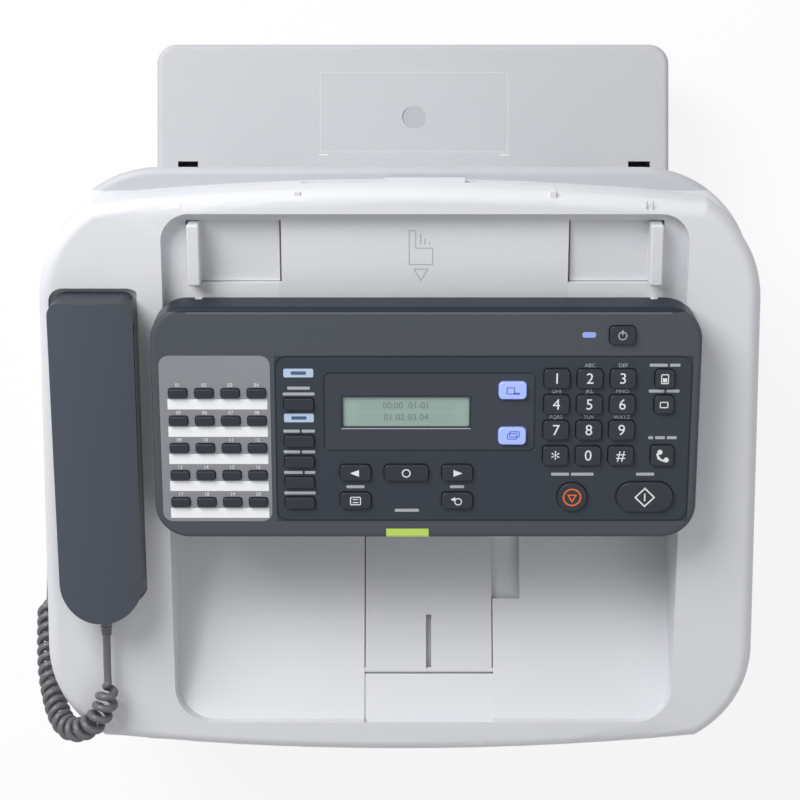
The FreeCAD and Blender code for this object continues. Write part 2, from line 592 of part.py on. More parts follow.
    slots = [box("exit_slot", span("path_centre", "paper_width + 12"),
                 ("-bowl_rear - 1", "-bowl_rear + tub_wall + 1"),
                 ("-exit_slot_drop - exit_slot_height", "-exit_slot_drop")),
             box("sensor_slit", span("path_centre", "paper_width"), ("-7", "-3"),
                 ("-deck_depth - tub_wall - 1", "-deck_depth + 1")),
             box("feed_slit", span("path_centre", "46"),
                 ("20 - roller_radius - 1.5", "20 + roller_radius + 1.5"),
                 ("-deck_depth - tub_wall - 1", "-deck_depth + 1")),
             box("support_slot", grown(support_x, "fit_gap"),
                 ("lid_rear - support_length - 4", "lid_rear + 10"),
                 grown(support_z, "fit_gap"))]
    bores = []
    for n, x in sides:
        start = f"({x[0]}) - 1"
        bores.append(rod(f"exit_bore_{n}", "X", (start, "-bowl_rear + 10.8", "-exit_slot_drop - 5"),
                         "tub_wall + 2", "shaft_radius + shaft_gap"))
        bores.append(rod(f"feed_bore_{n}", "X", (start, "20", "-deck_depth - roller_radius + 0.8"),
                         "tub_wall + 2", "shaft_radius + shaft_gap"))
    lid = cut("lid_cut", whole, hollow, clear_ears, cradle_cut, hook_slot, *wells, *windows, *slots,
              *bores, channel, front_step,
              pocket_cut, flap_bore)
    part("top_cover", lean(lid))


make_lid()


# Pieces on and in the feed deck and the bowl.
def make_deck_pieces():
    base_top = "-deck_depth - tub_wall - seat_gap"
    guide_y = ("guide_front", "guide_front + guide_length")
    for name, fence, bed in (
        ("guide_left", ("path_centre - guide_open - fence_width", "path_centre - guide_open"),
         ("path_centre - guide_open - fence_width",
          "path_centre - guide_open - fence_width + guide_plate - 1")),
        ("guide_right", ("path_centre + guide_open", "path_centre + guide_open + fence_width"),
         ("path_centre + guide_open + fence_width - guide_plate + 1",
          "path_centre + guide_open + fence_width")),
    ):
        bed_plate = box(f"{name}_bed", bed, guide_y, (f"{base_top} - guide_thick", base_top))
        wall = slab(f"{name}_fence", fence, guide_y, (f"{base_top} - 1", "fence_rise - deck_depth"),
                    "1.5", "1.2")
        part(name, lean(fuse(f"{name}_fused", bed_plate, wall)))

    support = slab("support_blade", span("path_centre", "support_width"),
                   ("lid_rear - support_length", "lid_rear - 2"),
                   ("-support_depth - support_thick", "-support_depth"), "6")
    lip = box("support_lip", span("path_centre", "40"), ("lid_rear - 3", "lid_rear + 1.5"),
              ("-support_depth - support_thick", "-support_depth + 0.2"))
    part("document_support", lean(fuse("support_fused", support, lip)))

    feed = [rod("feed_shaft", "X", ("-mouth_left - tub_wall", "20", "-deck_depth - roller_radius + 0.8"),
                "mouth_left + mouth_right + 2 * tub_wall", "shaft_radius"),
            rod("feed_tyre", "X", ("path_centre - 21", "20", "-deck_depth - roller_radius + 0.8"), "42",
                "roller_radius")]
    part("feed_roller", lean(fuse("feed_fused", *feed)))
    leave = [rod("exit_shaft", "X",
                 ("-mouth_left - tub_wall", "-bowl_rear + 10.8", "-exit_slot_drop - 5"),
                 "mouth_left + mouth_right + 2 * tub_wall", "shaft_radius")]
    for n, shift in enumerate((-80, -28, 28, 80)):
        leave.append(rod(f"exit_tyre_{n}", "X",
                         (f"path_centre + {shift} - 9", "-bowl_rear + 10.8", "-exit_slot_drop - 5"),
                         "18", "roller_radius - 0.3"))
    part("exit_roller", lean(fuse("exit_fused", *leave)))
    bar = box("sensor_bar", span("path_centre", "paper_width + 6"), ("-12", "2"),
              ("-deck_depth - tub_wall - 12", "-deck_depth - tub_wall"))
    glass = box("sensor_glass", span("path_centre", "paper_width - 1"), ("-6.7", "-3.3"),
                ("-deck_depth - tub_wall - 1", "-deck_depth - 0.3"))
    part("image_sensor", lean(fuse("sensor_fused", bar, glass)))

    leaf = slab("flap_leaf", ("flap_left", "flap_right"), ("0", "flap_length"), ("-flap_thick", "0"), "1")
    nose = rod("flap_nose", "X", ("flap_left", "0", "-flap_thick / 2"), "flap_right - flap_left",
               "flap_thick / 2")
    pivots = rod("flap_pivots", "X", ("flap_left - fit_gap * 2 - 1.6", "0", "-flap_thick / 2"),
                 "flap_right - flap_left + fit_gap * 4 + 3.2", "flap_pin")
    slit = box("flap_slit", span("(flap_left + flap_right) / 2", "flap_slot_width"),
               ("-2", "flap_slot_length"), ("-5", "2"))
    flap = fuse("flap_fused", cut("flap_cut", fuse("flap_solid", leaf, nose), slit), pivots)
    flap.Placement = FreeCAD.Placement(VEC(), FreeCAD.Rotation(VEC(1, 0, 0), -5))
    bind(flap, Placement__Rotation__Angle="-bowl_slope")
    part("output_flap", put(
        flap, "0",
        "-bowl_front * cos(tilt) + bowl_lip * sin(tilt) + flap_hinge * cos(bowl_slope)",
        "rim_height - bowl_front * sin(tilt) - bowl_lip * cos(tilt) - flap_hinge * sin(bowl_slope)",
    ))


make_deck_pieces()


# Keys: name, middle across, middle along the slope, width, depth, corner radius.
def digit(column, row):
    middle = (f"digit_x + {column} * digit_pitch_x", f"digit_y - {row} * digit_pitch_y")
    return (*middle, "digit_width", "digit_depth", "key_corner")


KEYS = {f"key_{n}": digit((n - 1) % 3, (n - 1) // 3) for n in range(1, 10)}
KEYS.update({
    "key_star": digit(0, 3),
    "key_0": digit(1, 3),
    "key_hash": digit(2, 3),
    "key_left": ("nav_x - nav_step", "nav_y", "nav_width", "nav_depth", "key_corner"),
    "key_enter": ("nav_x", "nav_y", "enter_width", "nav_depth", "key_corner"),
    "key_right": ("nav_x + nav_step", "nav_y", "nav_width", "nav_depth", "key_corner"),
    "key_menu": ("nav_x - nav_step", "nav_y - nav_row", "nav_width", "nav_depth", "key_corner"),
    "key_back": ("nav_x + nav_step", "nav_y - nav_row", "nav_width", "nav_depth", "key_corner"),
    "key_mode_rear": ("lit_x", "lit_y", "lit_width", "lit_depth", "key_corner"),
    "key_mode_front": ("lit_x", "lit_y - lit_pitch", "lit_width", "lit_depth", "key_corner"),
    "key_address": ("side_x", "digit_y", "small_width", "small_depth", "key_corner"),
    "key_redial": ("side_x", "digit_y - digit_pitch_y", "small_width", "small_depth", "key_corner"),
    "key_hands_free": ("side_x", "digit_y - 3 * digit_pitch_y", "hook_key_size", "hook_key_size - 0.6",
                       "key_corner"),
    "key_power": ("power_x", "power_y", "power_width", "power_depth", "key_corner"),
    "key_stop": ("stop_x", "action_y", "2 * stop_radius", "2 * stop_radius", "stop_radius - 0.05"),
    "key_start": ("start_x", "action_y", "start_width", "start_depth", "start_depth / 2 - 0.05"),
})
FUNCTIONS = [("function_x", "function_y", "function_width", "function_depth", "1.2")]
for n in range(4):
    FUNCTIONS.append(("function_x", f"function_y - function_gap - {n} * function_pitch", "function_width",
                      "function_depth", "1.2"))
SPEEDS = []
for n in range(20):
    SPEEDS.append((f"speed_x + {n % 4} * speed_pitch_x", f"speed_y - {n // 4} * speed_pitch_y",
                   "speed_key_width", "speed_key_depth", "1.2"))


def key_solid(name, middle_x, middle_y, width, depth, corner):
    """A key with a retaining flange, standing at its own place in the leaning frame."""
    under = "panel_top - panel_skin - seat_gap"
    stem = slab(f"{name}_stem", span(middle_x, width), span(middle_y, depth),
                (f"{under} - key_flange_thick", "panel_top + key_rise"), corner, "key_edge")
    flange = slab(f"{name}_flange", grown(span(middle_x, width), "key_flange"),
                  grown(span(middle_y, depth), "key_flange"),
                  (f"{under} - key_flange_thick", under), corner)
    return fuse(f"{name}_solid", stem, flange)


def key_hole(name, middle_x, middle_y, width, depth, corner, low="panel_top - 4", high="panel_top + 1"):
    return slab(f"{name}_hole", grown(span(middle_x, width), "fit_gap"),
                grown(span(middle_y, depth), "fit_gap"),
                (low, high), f"{corner} + fit_gap")


def groove(name, x, y, corner):
    """A thin outline cut into the panel's face."""
    depth = ("panel_top - groove_depth", "panel_top + 1")
    outer = slab(f"{name}_outer", x, y, depth, corner)
    inner = slab(f"{name}_inner", grown(x, "-groove_width"), grown(y, "-groove_width"), depth,
                 f"{corner} - groove_width")
    return cut(name, outer, inner)


def make_panel():
    x = ("-panel_left", "panel_right")
    y = ("-panel_front", "panel_rear")
    face_under = "panel_top - panel_skin"
    case = slab("case_outer", x, y, ("panel_under", "panel_top"), "panel_corner", "panel_edge")
    hollow = slab("case_hollow", grown(x, "-panel_wall"), grown(y, "-panel_wall"),
                  ("panel_under - 1", face_under), "panel_corner - panel_wall")
    board_top = "panel_top - board_drop"
    posts = [rod(f"case_post_{n}", "Z", (px, py, board_top), "board_drop - panel_skin + 0.5", "2.2")
             for n, (px, py) in enumerate((("-30", "29"), ("60", "29"), ("-10", "-62"), ("60", "-62")))]
    lugs = []
    bores = []
    notches = []
    for side, lug, notch in (
        ("left", ("ear_left - 0.6 - lug_thick", "ear_left - 0.6"),
         ("ear_left - 0.6", "ear_left + ear_thick + 0.6")),
        ("right", ("ear_right + 0.6", "ear_right + 0.6 + lug_thick"),
         ("ear_right - ear_thick - 0.6", "ear_right + 0.6")),
    ):
        lugs.append(box(f"lug_{side}", lug, (f"{PIVOT_Y} - 3.5", "panel_rear - 1"),
                        ("panel_under", f"{face_under} + 0.5")))
        bores.append(rod(f"lug_bore_{side}", "X", (f"({lug[0]}) - 1", PIVOT_Y, "panel_pivot_up"),
                         "lug_thick + 2", "pivot_radius + shaft_gap"))
        notches.append(box(f"case_notch_{side}", notch, ("panel_rear - 4", "panel_rear + 1"),
                           ("panel_under - 1", "panel_pivot_up + 0.3")))
    shell = fuse("case_shell", cut("case_cup", case, hollow), *posts, *lugs)
    holes = [key_hole(name, *spec) for name, spec in KEYS.items()]
    holes += [key_hole(f"function_{n}", *spec) for n, spec in enumerate(FUNCTIONS)]
    holes += [key_hole(f"speed_{n}", *spec) for n, spec in enumerate(SPEEDS)]
    speed_x = ("speed_left", "speed_right")
    field_y = ("inlay_front", "inlay_rear")
    holes.append(slab("speed_seat", grown(speed_x, "0.1"), grown(field_y, "0.1"),
                      ("panel_top - speed_thick", "panel_top + 1"), "speed_corner + 0.1"))
    holes.append(groove("field_groove", ("inlay_left", "inlay_right"), field_y, "inlay_corner"))
    holes.append(groove("screen_groove", ("screen_left", "screen_right"), ("screen_front", "screen_rear"),
                        "3"))
    lcd_x = span("lcd_centre_x", "lcd_width")
    lcd_y = span("lcd_centre_y", "lcd_height")
    holes.append(slab("lcd_hole", lcd_x, lcd_y, ("panel_top - 4", "panel_top + 1"), "1"))
    holes.append(box("status_notch", span("status_x", "status_width"),
                     ("-panel_front - 1", "status_depth - panel_front"), ("14", "panel_top + 1")))
    holes.append(slab("lamp_hole", grown(span("lamp_x", "lamp_width"), "0.1"),
                      grown(span("power_y", "lamp_depth"), "0.1"),
                      ("panel_top - 4", "panel_top + 1"), "1.2"))
    part("panel_housing", lean(cut("case_cut", shell, *holes, *bores, *notches)))

    sheet_metal = slab("speed_sheet", speed_x, field_y, ("panel_top - speed_thick", "panel_top"),
                       "speed_corner")
    openings = [key_hole(f"speed_face_{n}", *spec) for n, spec in enumerate(SPEEDS)]
    part("speed_dial_plate", lean(cut("speed_plate_cut", sheet_metal, *openings)))
    module = slab("lcd_body", grown(lcd_x, "2"), grown(lcd_y, "1.6"), (board_top, face_under), "1")
    pane = slab("lcd_pane", grown(lcd_x, "-0.15"), grown(lcd_y, "-0.15"),
                (f"{face_under} - 1", "panel_top - lcd_sunk"), "1")
    part("lcd_module", lean(fuse("lcd_fused", module, pane)))
    board = slab("panel_board_sheet", ("10 - panel_left", "panel_right - 9"),
                 ("6 - panel_front", "panel_rear - 11"),
                 (f"{board_top} - board_thick", board_top), "6")
    part("panel_board", lean(board,
                             *[f"(({a}) + ({b})) / 2" for a,
                               b in (("10 - panel_left", "panel_right - 9"),
                                     ("6 - panel_front", "panel_rear - 11"))],
                             f"{board_top} - board_thick"))
    status = box("status_block", grown(span("status_x", "status_width"), "-0.1"),
                 ("0.1 - panel_front", "status_depth - panel_front - 0.1"), ("14", "panel_top - 0.1"))
    power = fuse("power_lens",
                 slab("power_lens_top", span("lamp_x", "lamp_width"), span("power_y", "lamp_depth"),
                      (f"{face_under} - 1", "panel_top + 0.2"), "1.1"),
                 slab("power_lens_rim", grown(span("lamp_x", "lamp_width"), "1"),
                      grown(span("power_y", "lamp_depth"), "1"), (f"{face_under} - 1", face_under),
                      "1.1"))
    part("lamp_lenses", lean(group("lenses",
                                   rounded("status_round", status, 1.5,
                                           lambda e: (e.BoundBox.ZMin > 21 and
                                                      abs(e.BoundBox.YMax + size("panel_front") - 0.1) < 1e-3)),
                                            power)))

    for name, spec in KEYS.items():
        part(name, lean(key_solid(name, *spec)))
    part("function_keys", lean(group("functions",
                                     *[key_solid(f"function_{n}", *spec) for n,
                                       spec in enumerate(FUNCTIONS)])))
    part("speed_dial_keys",
         lean(group("speeds", *[key_solid(f"speed_{n}", *spec) for n, spec in enumerate(SPEEDS)])))


make_panel()


# Handset, its hook and its cradle pieces.
def make_handset():
    x = span("handset_x", "handset_width")
    y = ("handset_front", "handset_rear")
    z = ("handset_under", "handset_top")
    outline = fuse("handset_block", slab("handset_long", x, y, z, "handset_tip"),
                   slab("handset_square", x, ("handset_rear - 100", y[1]), z, "handset_corner"))
    crown = rod("handset_crown_rod", "Y",
                ("handset_x", "handset_front - 10", "handset_top - handset_crown"),
                "handset_rear - handset_front + 20", "handset_crown")
    back = common("handset_back", outline, crown)
    hollow = slab("handset_hollow", (f"({x[0]}) + 3", f"({x[1]}) - 8"), grown(y, "-3"),
                  ("handset_under - 1", "handset_top - 9"), "handset_tip - 8")
    lead_bore = rod("handset_bore", "Y", ("handset_x", "handset_front - 5", "handset_under + 6"), "10",
                    "cord_wire / 2 + 0.15")
    part("handset_shell", lean(cut("handset_cut", back, hollow, lead_bore,
                                   right_of_handset("handset_side", "0"))))

    grip = fuse("grip", slab("grip_long", grown(x, "-0.5"), grown(y, "-0.5"),
                             ("handset_under - grip_thick", "handset_under"), "handset_tip - 0.5"),
                slab("grip_square", grown(x, "-0.5"), ("handset_rear - 100", f"{y[1]} - 0.5"),
                     ("handset_under - grip_thick", "handset_under"), "handset_corner - 0.5"))
    cups = []
    ports = []
    for n, cx, cy, radius in CUPS:
        cups.append(rod(f"cup_{n}", "Z", (cx, cy, "handset_under - cup_depth"), "cup_depth", radius))
        for i in range(6):
            shift = (f"{cx} + 6 * cos({60 * i})", f"({cy}) + 6 * sin({60 * i})",
                     "handset_under - cup_depth - 1")
            ports.append(rod(f"port_{n}_{i}", "Z", shift, "4", "1.2"))
    part("handset_cover", lean(cut("handset_cover_cut",
                                   fuse("handset_cover_solid",
                                        cut("grip_cut", grip, right_of_handset("grip_side", "-0.5")),
                                        *cups), *ports)))

    top = "handset_under - grip_thick - seat_gap"
    tongue = slab("hook_tongue", span("handset_x", "hook_width"), span("hook_y", "hook_length"),
                  (f"{top} - hook_height", top), "1.5")
    part("hook_plunger", lean(tongue, "handset_x", "hook_y", f"{top} - hook_height"))


make_handset()


# Housing, base, doors and drawers in the row frame.
HOUSE_X = ("-house_width / 2", "house_width / 2")
HOUSE_Y = ("house_front", "house_rear")
DRAWER_X = span("drawer_centre", "2 * drawer_half")
BASE_TOP = "foot_height + base_floor"
DECK_TOP = "engine_deck + engine_deck_thick"
CHEEK_LEFT = ("drawer_centre - drawer_half - rail_gap - rail_thick",
              "drawer_centre - drawer_half - rail_gap - rail_thick + cheek_thick")
CHEEK_RIGHT = ("drawer_centre + drawer_half + rail_gap + rail_thick - cheek_thick",
               "drawer_centre + drawer_half + rail_gap + rail_thick")
SCREWS = [(f"{side} * (house_width / 2 - 8)", y) for side in (-1, 1) for y in ("-100", "40")]


def above_seam(name, down):
    """Everything above the lid's lower edge, moved down by `down`."""
    obj = doc.addObject("Part::Box", name)
    bind(obj, Length="500", Width="600", Height="200")
    return lean(obj, "-250", "-300", f"-lid_height - ({down})")


def make_housing():
    outer = cut("house_cut",
                slab("house_block", HOUSE_X, HOUSE_Y, ("house_base", "house_base + 240"), "house_corner"),
                above_seam("house_seam", "0"))
    edge = rounded("house_round", outer, size("house_edge"),
                   lambda e: (e.BoundBox.ZMin > 195
                              and abs(e.BoundBox.YMax - size("house_rear")) < 1e-3))
    inner = cut("house_hollow",
                slab("house_inner", grown(HOUSE_X, "-house_wall"), grown(HOUSE_Y, "-house_wall"),
                ("house_base - 1", "house_base + 240"), "house_corner - house_wall"),
                above_seam("house_under", "house_wall"))
    mouth = slab("house_mouth", grown(HOUSE_X, "-house_ledge"), grown(HOUSE_Y, "-house_ledge"),
                 ("house_base - 1", "house_base + 240"), "house_corner - house_ledge")
    ring_corner = size("lid_corner") - size("lid_wall") + 4
    ring = cut("spigot",
               bowed("spigot_outer", "lid_wall + 0.4", "-lid_height - 2", "8 - lid_height", ring_corner - 0.4),
               bowed("spigot_inner", "lid_wall + 2.9", "-lid_height - 3", "9 - lid_height", ring_corner - 2.9),
               box("spigot_gap", span("path_centre", "support_width + 20"), ("60", "110"),
                   ("-lid_height", "0")))
    bosses = [rod(f"boss_{n}", "Z", (x, y, "house_base"), "18", "5.2") for n, (x, y) in enumerate(SCREWS)]
    jack = box("jack_block", ("1 - house_width / 2", "3 + jack_depth - house_width / 2"),
               span("jack_y", "jack_size + 5"), span("jack_z", "jack_size + 5"))
    tools = [box("front_opening", grown(DRAWER_X, "3"), ("house_front - 1", "house_front + 40"),
                 ("0", "engine_deck")),
             box("door_opening", span("drawer_centre", "2 * door_half + 1.2"),
                 ("house_front - 1", "house_front + 40"), ("engine_deck - 1", "door_top + 1")),
             rod("door_bore", "X", ("drawer_centre - door_half - 3", "house_front + door_thick / 2",
                                    "door_bottom + 2.5"), "2 * door_half + 6", "door_pin + shaft_gap"),
             box("rear_opening", ("-cover_left - 1", "cover_right + 1"),
                 ("house_rear - 40", "house_rear + 1"), ("0", "cover_top + 1")),
             box("jack_hole", ("-house_width / 2 - 1", "jack_depth - house_width / 2"),
                 span("jack_y", "jack_size"), span("jack_z", "jack_size")),
             box("inlet_hole", ("85", "113"), ("house_rear - 6", "house_rear + 1"), ("88", "108")),
             box("line_hole", ("-98", "-58"), ("house_rear - 6", "house_rear + 1"), ("88", "102"))]
    for n in range(8):
        y = f"{8 * n - 10}"
        tools.append(box(f"vent_{n}", ("-house_width", "house_width"), (y, f"{y} + 3"), ("125", "150")))
    tools += [rod(f"boss_bore_{n}", "Z", (x, y, "house_base - 1"), "16", "screw_shank") for n,
              (x, y) in enumerate(SCREWS)]
    solid = fuse("house_solid", cut("house_shell", edge, inner, mouth), lean(ring), *bosses, jack)
    part("main_housing", cut("house_done", solid, *tools))


def make_base():
    floor = slab("base_sheet", grown(HOUSE_X, "-1"), grown(HOUSE_Y, "-1"), ("foot_height", BASE_TOP),
                 "house_corner - 1")
    pieces = [floor]
    for side, rail, cheek in (("left",
                               ("drawer_centre - drawer_half - rail_gap - rail_thick",
                                "drawer_centre - drawer_half - rail_gap"), CHEEK_LEFT),
                              ("right", ("drawer_centre + drawer_half + rail_gap",
                                         "drawer_centre + drawer_half + rail_gap + rail_thick"),
                                         CHEEK_RIGHT)):
        pieces.append(box(f"rail_{side}", rail, ("house_front + 40", "house_rear - 15"),
                          ("foot_height", DECK_TOP)))
        pieces.append(box(f"cheek_{side}", cheek, ("engine_front", "house_rear - 15"),
                          ("engine_deck", "cheek_top")))
    for n, x in enumerate((("-cover_left", "10 - cover_left"), ("cover_right - 10", "cover_right"))):
        pieces.append(box(f"tongue_{n}", x, ("house_rear - 12", "house_rear + 30"),
                          ("foot_height", BASE_TOP)))
    pieces.append(box("engine_sheet", (CHEEK_LEFT[0], CHEEK_RIGHT[1]),
                      ("engine_front", "house_rear - 15"), ("engine_deck", DECK_TOP)))
    tools = [rod(f"pickup_bore_{n}", "X", (f"({x[0]}) - 1", "-100", "76"), "cheek_thick + 2",
                 "shaft_radius + shaft_gap") for n, x in enumerate((CHEEK_LEFT, CHEEK_RIGHT))]
    tools.append(box("pickup_slot", span("path_centre", "52"), ("-116", "-84"),
                     ("engine_deck - 1", f"{DECK_TOP} + 1")))
    tools += [rod(f"screw_bore_{n}", "Z", (x, y, "foot_height - 1"), "base_floor + 2",
                  "screw_shank + 0.2") for n, (x, y) in enumerate(SCREWS)]
    part("base_frame", cut("base_cut", fuse("base_solid", *pieces), *tools))
    feet = [rod(f"foot_{n}", "Z", (f"{side} * foot_x", y, "0"), "foot_height", "foot_radius") for n,
            (side, y) in
            enumerate(((-1, "foot_front"), (1, "foot_front"), (-1, "foot_rear"), (1, "foot_rear")))]
    part("rubber_feet", group("feet", *feet))
    screws = []
    for n, (x, y) in enumerate(SCREWS):
        screws.append(fuse(f"screw_{n}",
                           rod(f"screw_head_{n}", "Z", (x, y, "foot_height - 2"), "2", "screw_head"),
                           rod(f"screw_shank_{n}", "Z", (x, y, "foot_height - 2"), "14", "screw_shank")))
    part("screws", group("screw_set", *screws))


def make_drawer_and_doors():
    tray_bottom = f"{BASE_TOP} + seat_gap"
    tray_front = "house_front + 3"
    body = box("tray_block", DRAWER_X, (tray_front, "drawer_rear"), (tray_bottom, "drawer_top"))
    hollow = box("tray_hollow", grown(DRAWER_X, "-drawer_wall"),
                 (f"{tray_front} + drawer_wall", "drawer_rear - drawer_wall"),
                 (f"{tray_bottom} + drawer_wall", "drawer_top + 1"))
    fascia = slab("fascia", span("drawer_centre", "2 * fascia_half"),
                  ("0", "engine_deck - foot_height - base_floor - 2"), ("0", "fascia_thick"), "3", "1.5")
    fascia.Placement = FreeCAD.Placement(VEC(), FreeCAD.Rotation(VEC(1, 0, 0), 90))
    put(fascia, "drawer_centre", tray_front, f"({BASE_TOP} + seat_gap + engine_deck - 1.7) / 2")
    grip = box("fascia_grip", span("drawer_centre", "grip_width"),
               ("house_front - 10", f"{tray_front} - 1.5"),
               ("drawer_top - 8 - grip_height", "drawer_top - 8"))
    part("cassette_tray", cut("tray_cut", fuse("tray_solid", cut("tray_shell", body, hollow), fascia),
                              grip))

    cover_x = ("-cover_left", "cover_right")
    cover_y = ("house_rear - 6", "cover_rear")
    lid = slab("dust_outer", cover_x, ("house_rear - 40", "cover_rear"), ("cover_bottom", "cover_top"),
               "cover_corner", "3")
    room = slab("dust_hollow", grown(cover_x, "-cover_wall"),
                ("house_rear - 60", "cover_rear - cover_wall"),
                ("cover_bottom - 1", "cover_top - cover_wall"), "cover_corner - cover_wall")
    front = box("dust_front", grown(cover_x, "1"), ("house_rear - 50", cover_y[0]),
                ("0", "cover_top + 1"))
    clips = [box(f"clip_slot_{n}", x, ("118", "127"), ("cover_top - 6", "cover_top + 1")) for n,
             x in enumerate((("-124.2", "-113"), ("127.6", "139.9")))]
    dimple = rod("gate_dimple", "Z", ("7.3", "151.7", "cover_top - 0.6"), "2", "6")
    part("cassette_cover", cut("dust_cut", lid, room, front, dimple, *clips))

    leaf = slab("door_leaf", span("drawer_centre", "2 * door_half"), ("door_bottom", "door_top"),
                ("0", "door_thick"), "3", "1.2")
    leaf.Placement = FreeCAD.Placement(VEC(), FreeCAD.Rotation(VEC(1, 0, 0), 90))
    put(leaf, "drawer_centre", "house_front + door_thick", "(door_bottom + door_top) / 2")
    pins = rod("door_pins", "X",
               ("drawer_centre - door_half - 2.5", "house_front + door_thick / 2", "door_bottom + 2.5"),
               "2 * door_half + 5", "door_pin")
    pull = box("door_pull", span("drawer_centre", "70"), ("house_front - 1", "house_front + 2"),
               ("door_top - 8", "door_top + 1"))
    part("front_door", cut("door_cut", fuse("door_solid", leaf, pins), pull))


def make_engine():
    shaft = [rod("pickup_shaft", "X", (CHEEK_LEFT[0], "-100", "76"),
                 f"{CHEEK_RIGHT[1]} - ({CHEEK_LEFT[0]})", "shaft_radius"),
             rod("pickup_tyre", "X", ("path_centre - 22", "-100", "76"), "44", "12")]
    part("pickup_roller", fuse("pickup_fused", *shaft))
    drum = fuse("toner_solid",
                box("toner_box", span("drawer_centre", "264"), ("-80", "-34"), (DECK_TOP, "104")),
                box("toner_waste", span("drawer_centre", "264"), ("-34.5", "-16"), (DECK_TOP, "90")),
                box("toner_handle", span("drawer_centre", "80"), ("-86", "-79"), ("90", "97")))
    part("toner_cartridge", drum)
    scanner = fuse("laser_solid",
                   box("laser_box", span("drawer_centre", "220"), ("-8", "60"), (DECK_TOP, "94")),
                   rod("laser_motor", "Z", ("drawer_centre", "26", "93"), "7", "14"))
    part("laser_unit", scanner)
    oven = fuse("fuser_solid",
                box("fuser_box", span("drawer_centre", "264"), ("60.5", "91.5"), (DECK_TOP, "106")),
                rod("fuser_shaft", "X", ("drawer_centre - 138", "76", "84"), "276", "4"))
    part("fuser", oven)
    card = box("main_card", (CHEEK_LEFT[0], CHEEK_RIGHT[1]), ("10", "90"),
               ("cheek_top", "cheek_top + board_thick"))
    chips = [box(f"chip_{n}", (f"drawer_centre + {x}", f"drawer_centre + {x} + 22"), ("36", "58"),
                 ("cheek_top + 1", "cheek_top + board_thick + 3"))
             for n, x in enumerate((-90, -30, 40))]
    supply = box("supply_case", ("house_wall + 13 - house_width / 2", f"{CHEEK_LEFT[0]} - 4"),
                 ("-55", "58"), (BASE_TOP, "engine_deck - 4"))
    part("circuit_boards", group("boards", fuse("main_board", card, *chips), supply))
    motor = fuse("motor_solid",
                 rod("motor_can", "X", (f"{CHEEK_LEFT[1]} + 1", "26", f"{DECK_TOP} + 19.5"), "17", "19"),
                 box("motor_flange", (CHEEK_LEFT[1], f"{CHEEK_LEFT[1]} + 2"), ("5", "47"),
                     (DECK_TOP, f"{DECK_TOP} + 40")))
    part("drive_motor", motor)
    inlet = cut("inlet_cut",
                fuse("inlet", box("inlet_nose", ("85.2", "112.8"), ("house_rear - 4", "house_rear - 0.2"),
                                  ("88.2", "107.8")),
                box("inlet_flange", ("82", "116"), ("house_rear - 16", "house_rear - house_wall"),
                    ("85", "111"))),
                box("inlet_well", ("88", "110"), ("house_rear - 13", "house_rear"), ("91", "105")))
    blades = [box(f"blade_{n}", (f"{x}", f"{x} + 1.6"), ("house_rear - 14", "house_rear - 4"),
                  ("95", "101")) for n, x in enumerate((92, 98, 104))]
    line = cut("line_cut",
               fuse("line", box("line_nose", ("-97.8", "-58.2"), ("house_rear - 4", "house_rear - 0.2"),
                                ("88.2", "101.8")),
               box("line_flange", ("-101", "-55"), ("house_rear - 18", "house_rear - house_wall"),
                   ("85", "105"))),
               *[box(f"line_well_{n}", (f"{x}", f"{x} + 12"), ("house_rear - 15", "house_rear"),
                     ("90", "100")) for n, x in enumerate((-94, -74))])
    part("rear_sockets", group("sockets", fuse("inlet_done", inlet, *blades), line))


make_housing()
make_base()
make_drawer_and_doors()
make_engine()


# Curly handset cord: a wire swept along arcs that follow a coiled centre line.
def leaning_point(x, y, z):
    a = math.radians(size("tilt"))
    return VEC(x, y * math.cos(a) - z * math.sin(a),
               size("rim_height") + y * math.sin(a) + z * math.cos(a))


